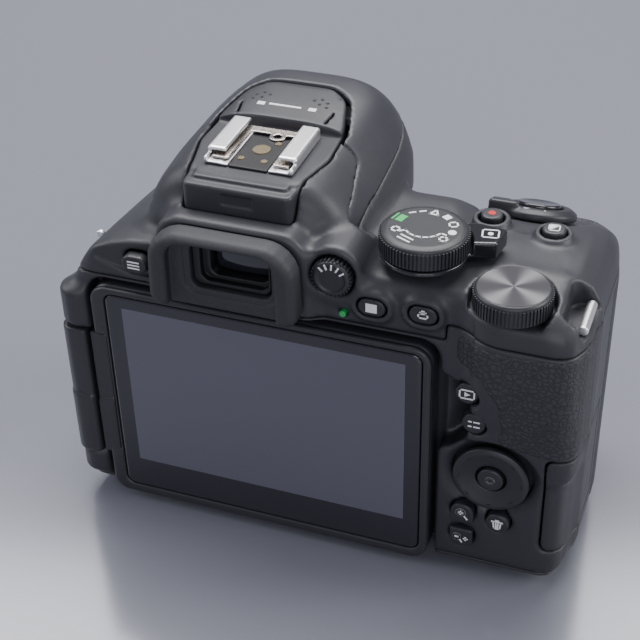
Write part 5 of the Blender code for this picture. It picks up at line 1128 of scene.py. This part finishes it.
# ---------------------------------------------------------------- stage
def make_stage(look):
    """A pale sweep, soft lamps and the viewpoint."""
    width, far = 3.0, 3.0
    rows = [(-2.0, 0.0), (0.9, 0.0)]
    rows += [(0.9 + 0.6 * math.sin(a), 0.6 - 0.6 * math.cos(a)) for a in np.linspace(0.1, math.pi / 2, 12)]
    rows += [(1.5, far)]
    turn = Matrix.Rotation(math.radians(20.8), 4, "Z")
    points = [turn @ Vector((x, y, z - 0.0004)) for y, z in rows for x in (-width, width)]
    faces = [(2 * i, 2 * i + 1, 2 * i + 3, 2 * i + 2) for i in range(len(rows) - 1)]
    floor = Paint("sweep", tuple(look.floor_colour), 0.16, 0.1)
    floor.set("Specular IOR Level", 0.7)
    obj = plain_object("sweep", points, [faces], floor.made)
    world = bpy.data.worlds.new("surround")
    bpy.context.scene.world = world
    world.use_nodes = True
    world.node_tree.nodes["Background"].inputs[0].default_value = (0.82, 0.82, 0.98, 1.0)
    world.node_tree.nodes["Background"].inputs[1].default_value = look.surround
    for name, place, aim, size, power, tint in (
        ("over", (-0.15, 0.45, 1.1), (0, 0, 0.05), (1.1, 0.8), look.key_power, (1.0, 0.99, 1.0)),
        ("left", (-1.1, -0.2, 0.7), (0, 0, 0.05), (0.8, 0.8), look.key_power * 0.28, (0.93, 0.96, 1.0)),
        ("right", (1.0, 0.15, 0.55), (0, 0, 0.05), (0.6, 0.7), look.key_power * 0.34, (1.0, 0.99, 0.97)),
        ("behind viewer", (0.5, -1.4, 0.6), (0, 0, 0.04), (1.2, 0.7), look.key_power * 0.3,
         (0.95, 0.95, 1.0)),
    ):
        lamp = bpy.data.lights.new(name, "AREA")
        lamp.shape = "RECTANGLE"
        lamp.size, lamp.size_y = size
        lamp.energy = power
        lamp.color = tint
        holder = bpy.data.objects.new(name, lamp)
        bpy.context.scene.collection.objects.link(holder)
        holder.location = place
        holder.rotation_euler = (Vector(aim) - Vector(place)).to_track_quat("-Z", "Y").to_euler()
    azimuth, height, roll = (math.radians(a) for a in (20.77, 35.61, -1.55))
    back = Vector((math.sin(azimuth) * math.cos(height), -math.cos(azimuth) * math.cos(height),
                   math.sin(height)))
    side = (-back).cross(Vector((0, 0, 1))).normalized()
    lift = side.cross(-back)
    across = side * math.cos(roll) + lift * math.sin(roll)
    up = lift * math.cos(roll) - side * math.sin(roll)
    data = bpy.data.cameras.new("viewpoint")
    data.lens, data.sensor_width, data.clip_start = 78.5, 36.0, 0.01
    view = bpy.data.objects.new("viewpoint", data)
    bpy.context.scene.collection.objects.link(view)
    turn = Matrix((across, up, back)).transposed().to_4x4()
    view.matrix_world = Matrix.Translation(Vector((0.0897, -0.2565, 0.2405))) @ turn
    bpy.context.scene.camera = view


class SLR_sizes(bpy.types.PropertyGroup):
    """Sizes and colours that a user would change."""
    fineness: bpy.props.FloatProperty(name="Carving step", description="Spacing of the carving grid in mm",
                                      default=0.5)
    thrift: bpy.props.FloatProperty(name="Thrift", description="How far flat areas use fewer faces",
                                    default=0.02)
    key_power: bpy.props.FloatProperty(name="Key lamp", description="Power of the upper lamp in watts",
                                       default=27.0)
    surround: bpy.props.FloatProperty(name="Surround", description="Strength of the even light", default=0.34)
    body_colour: bpy.props.FloatVectorProperty(
        name="Body", description="Colour of the covers", subtype="COLOR", default=(0.030, 0.0305, 0.0365))
    rubber_colour: bpy.props.FloatVectorProperty(
        name="Rubber", description="Colour of the rubber skins", subtype="COLOR",
        default=(0.030, 0.0305, 0.0365))
    ink_colour: bpy.props.FloatVectorProperty(
        name="Ink", description="Colour of the printed marks", subtype="COLOR", default=(0.80, 0.80, 0.82))
    floor_colour: bpy.props.FloatVectorProperty(
        name="Floor", description="Colour of the sweep", subtype="COLOR", default=(0.21, 0.215, 0.25))


class Maker:
    """What every building step shares."""
    bl_options = {"REGISTER", "UNDO"}

    def execute(self, context):
        if not PAINTS:
            PAINTS.update(make_paints(context.scene.slr))
        self.build(context.scene.slr)
        return {"FINISHED"}


class SLR_OT_covers(Maker, bpy.types.Operator):
    """Carves the covers and the flash head"""
    bl_idname = "slr.covers"
    bl_label = "Covers"

    def build(self, look):
        make_covers(look)


class SLR_OT_monitor(Maker, bpy.types.Operator):
    """Builds the turning monitor"""
    bl_idname = "slr.monitor"
    bl_label = "Monitor"

    def build(self, look):
        make_monitor(look)


class SLR_OT_finder(Maker, bpy.types.Operator):
    """Builds the eyecup and the finder window"""
    bl_idname = "slr.finder"
    bl_label = "Finder"

    def build(self, look):
        make_finder(look)


class SLR_OT_shoe(Maker, bpy.types.Operator):
    """Builds the shoe plate, rails, spring and contacts"""
    bl_idname = "slr.shoe"
    bl_label = "Accessory shoe"

    def build(self, look):
        make_shoe(look)


class SLR_OT_dials(Maker, bpy.types.Operator):
    """Builds the dials, levers and the shutter button"""
    bl_idname = "slr.dials"
    bl_label = "Dials"

    def build(self, look):
        make_dials(look)


class SLR_OT_buttons(Maker, bpy.types.Operator):
    """Builds the push buttons with their signs"""
    bl_idname = "slr.buttons"
    bl_label = "Buttons"

    def build(self, look):
        make_buttons(look)


class SLR_OT_metal(Maker, bpy.types.Operator):
    """Builds the mount, lugs, socket, lamps and windows"""
    bl_idname = "slr.metal"
    bl_label = "Metal and lamps"

    def build(self, look):
        make_metal(look)


class SLR_OT_inside(Maker, bpy.types.Operator):
    """Paints the inner pieces"""
    bl_idname = "slr.inside"
    bl_label = "Inner finishes"

    def build(self, look):
        paint_inside(look)


class SLR_OT_stage(Maker, bpy.types.Operator):
    """Sets the floor, the lamps and the viewpoint"""
    bl_idname = "slr.stage"
    bl_label = "Stage"

    def build(self, look):
        make_stage(look)


STEPS = (
    SLR_OT_covers, SLR_OT_monitor, SLR_OT_finder, SLR_OT_shoe, SLR_OT_dials, SLR_OT_buttons, SLR_OT_metal,
    SLR_OT_inside, SLR_OT_stage,
)


class SLR_PT_panel(bpy.types.Panel):
    """Lists the building steps"""
    bl_idname = "SLR_PT_panel"
    bl_label = "SLR camera"
    bl_space_type = "VIEW_3D"
    bl_region_type = "UI"
    bl_category = "Camera"

    def draw(self, context):
        for one in STEPS:
            self.layout.operator(one.bl_idname)
        for key in SLR_sizes.__annotations__:
            self.layout.prop(context.scene.slr, key)


CLASSES = (SLR_sizes, *STEPS, SLR_PT_panel)


def register():
    for one in CLASSES:
        bpy.utils.register_class(one)
    bpy.types.Scene.slr = bpy.props.PointerProperty(type=SLR_sizes)


def unregister():
    del bpy.types.Scene.slr
    for one in reversed(CLASSES):
        bpy.utils.unregister_class(one)


def main():
    """Runs every building step in order."""
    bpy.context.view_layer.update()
    register()
    for one in STEPS:
        group, name = one.bl_idname.split(".")
        getattr(getattr(bpy.ops, group), name)()
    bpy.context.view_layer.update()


if __name__ == "__main__":
    main()
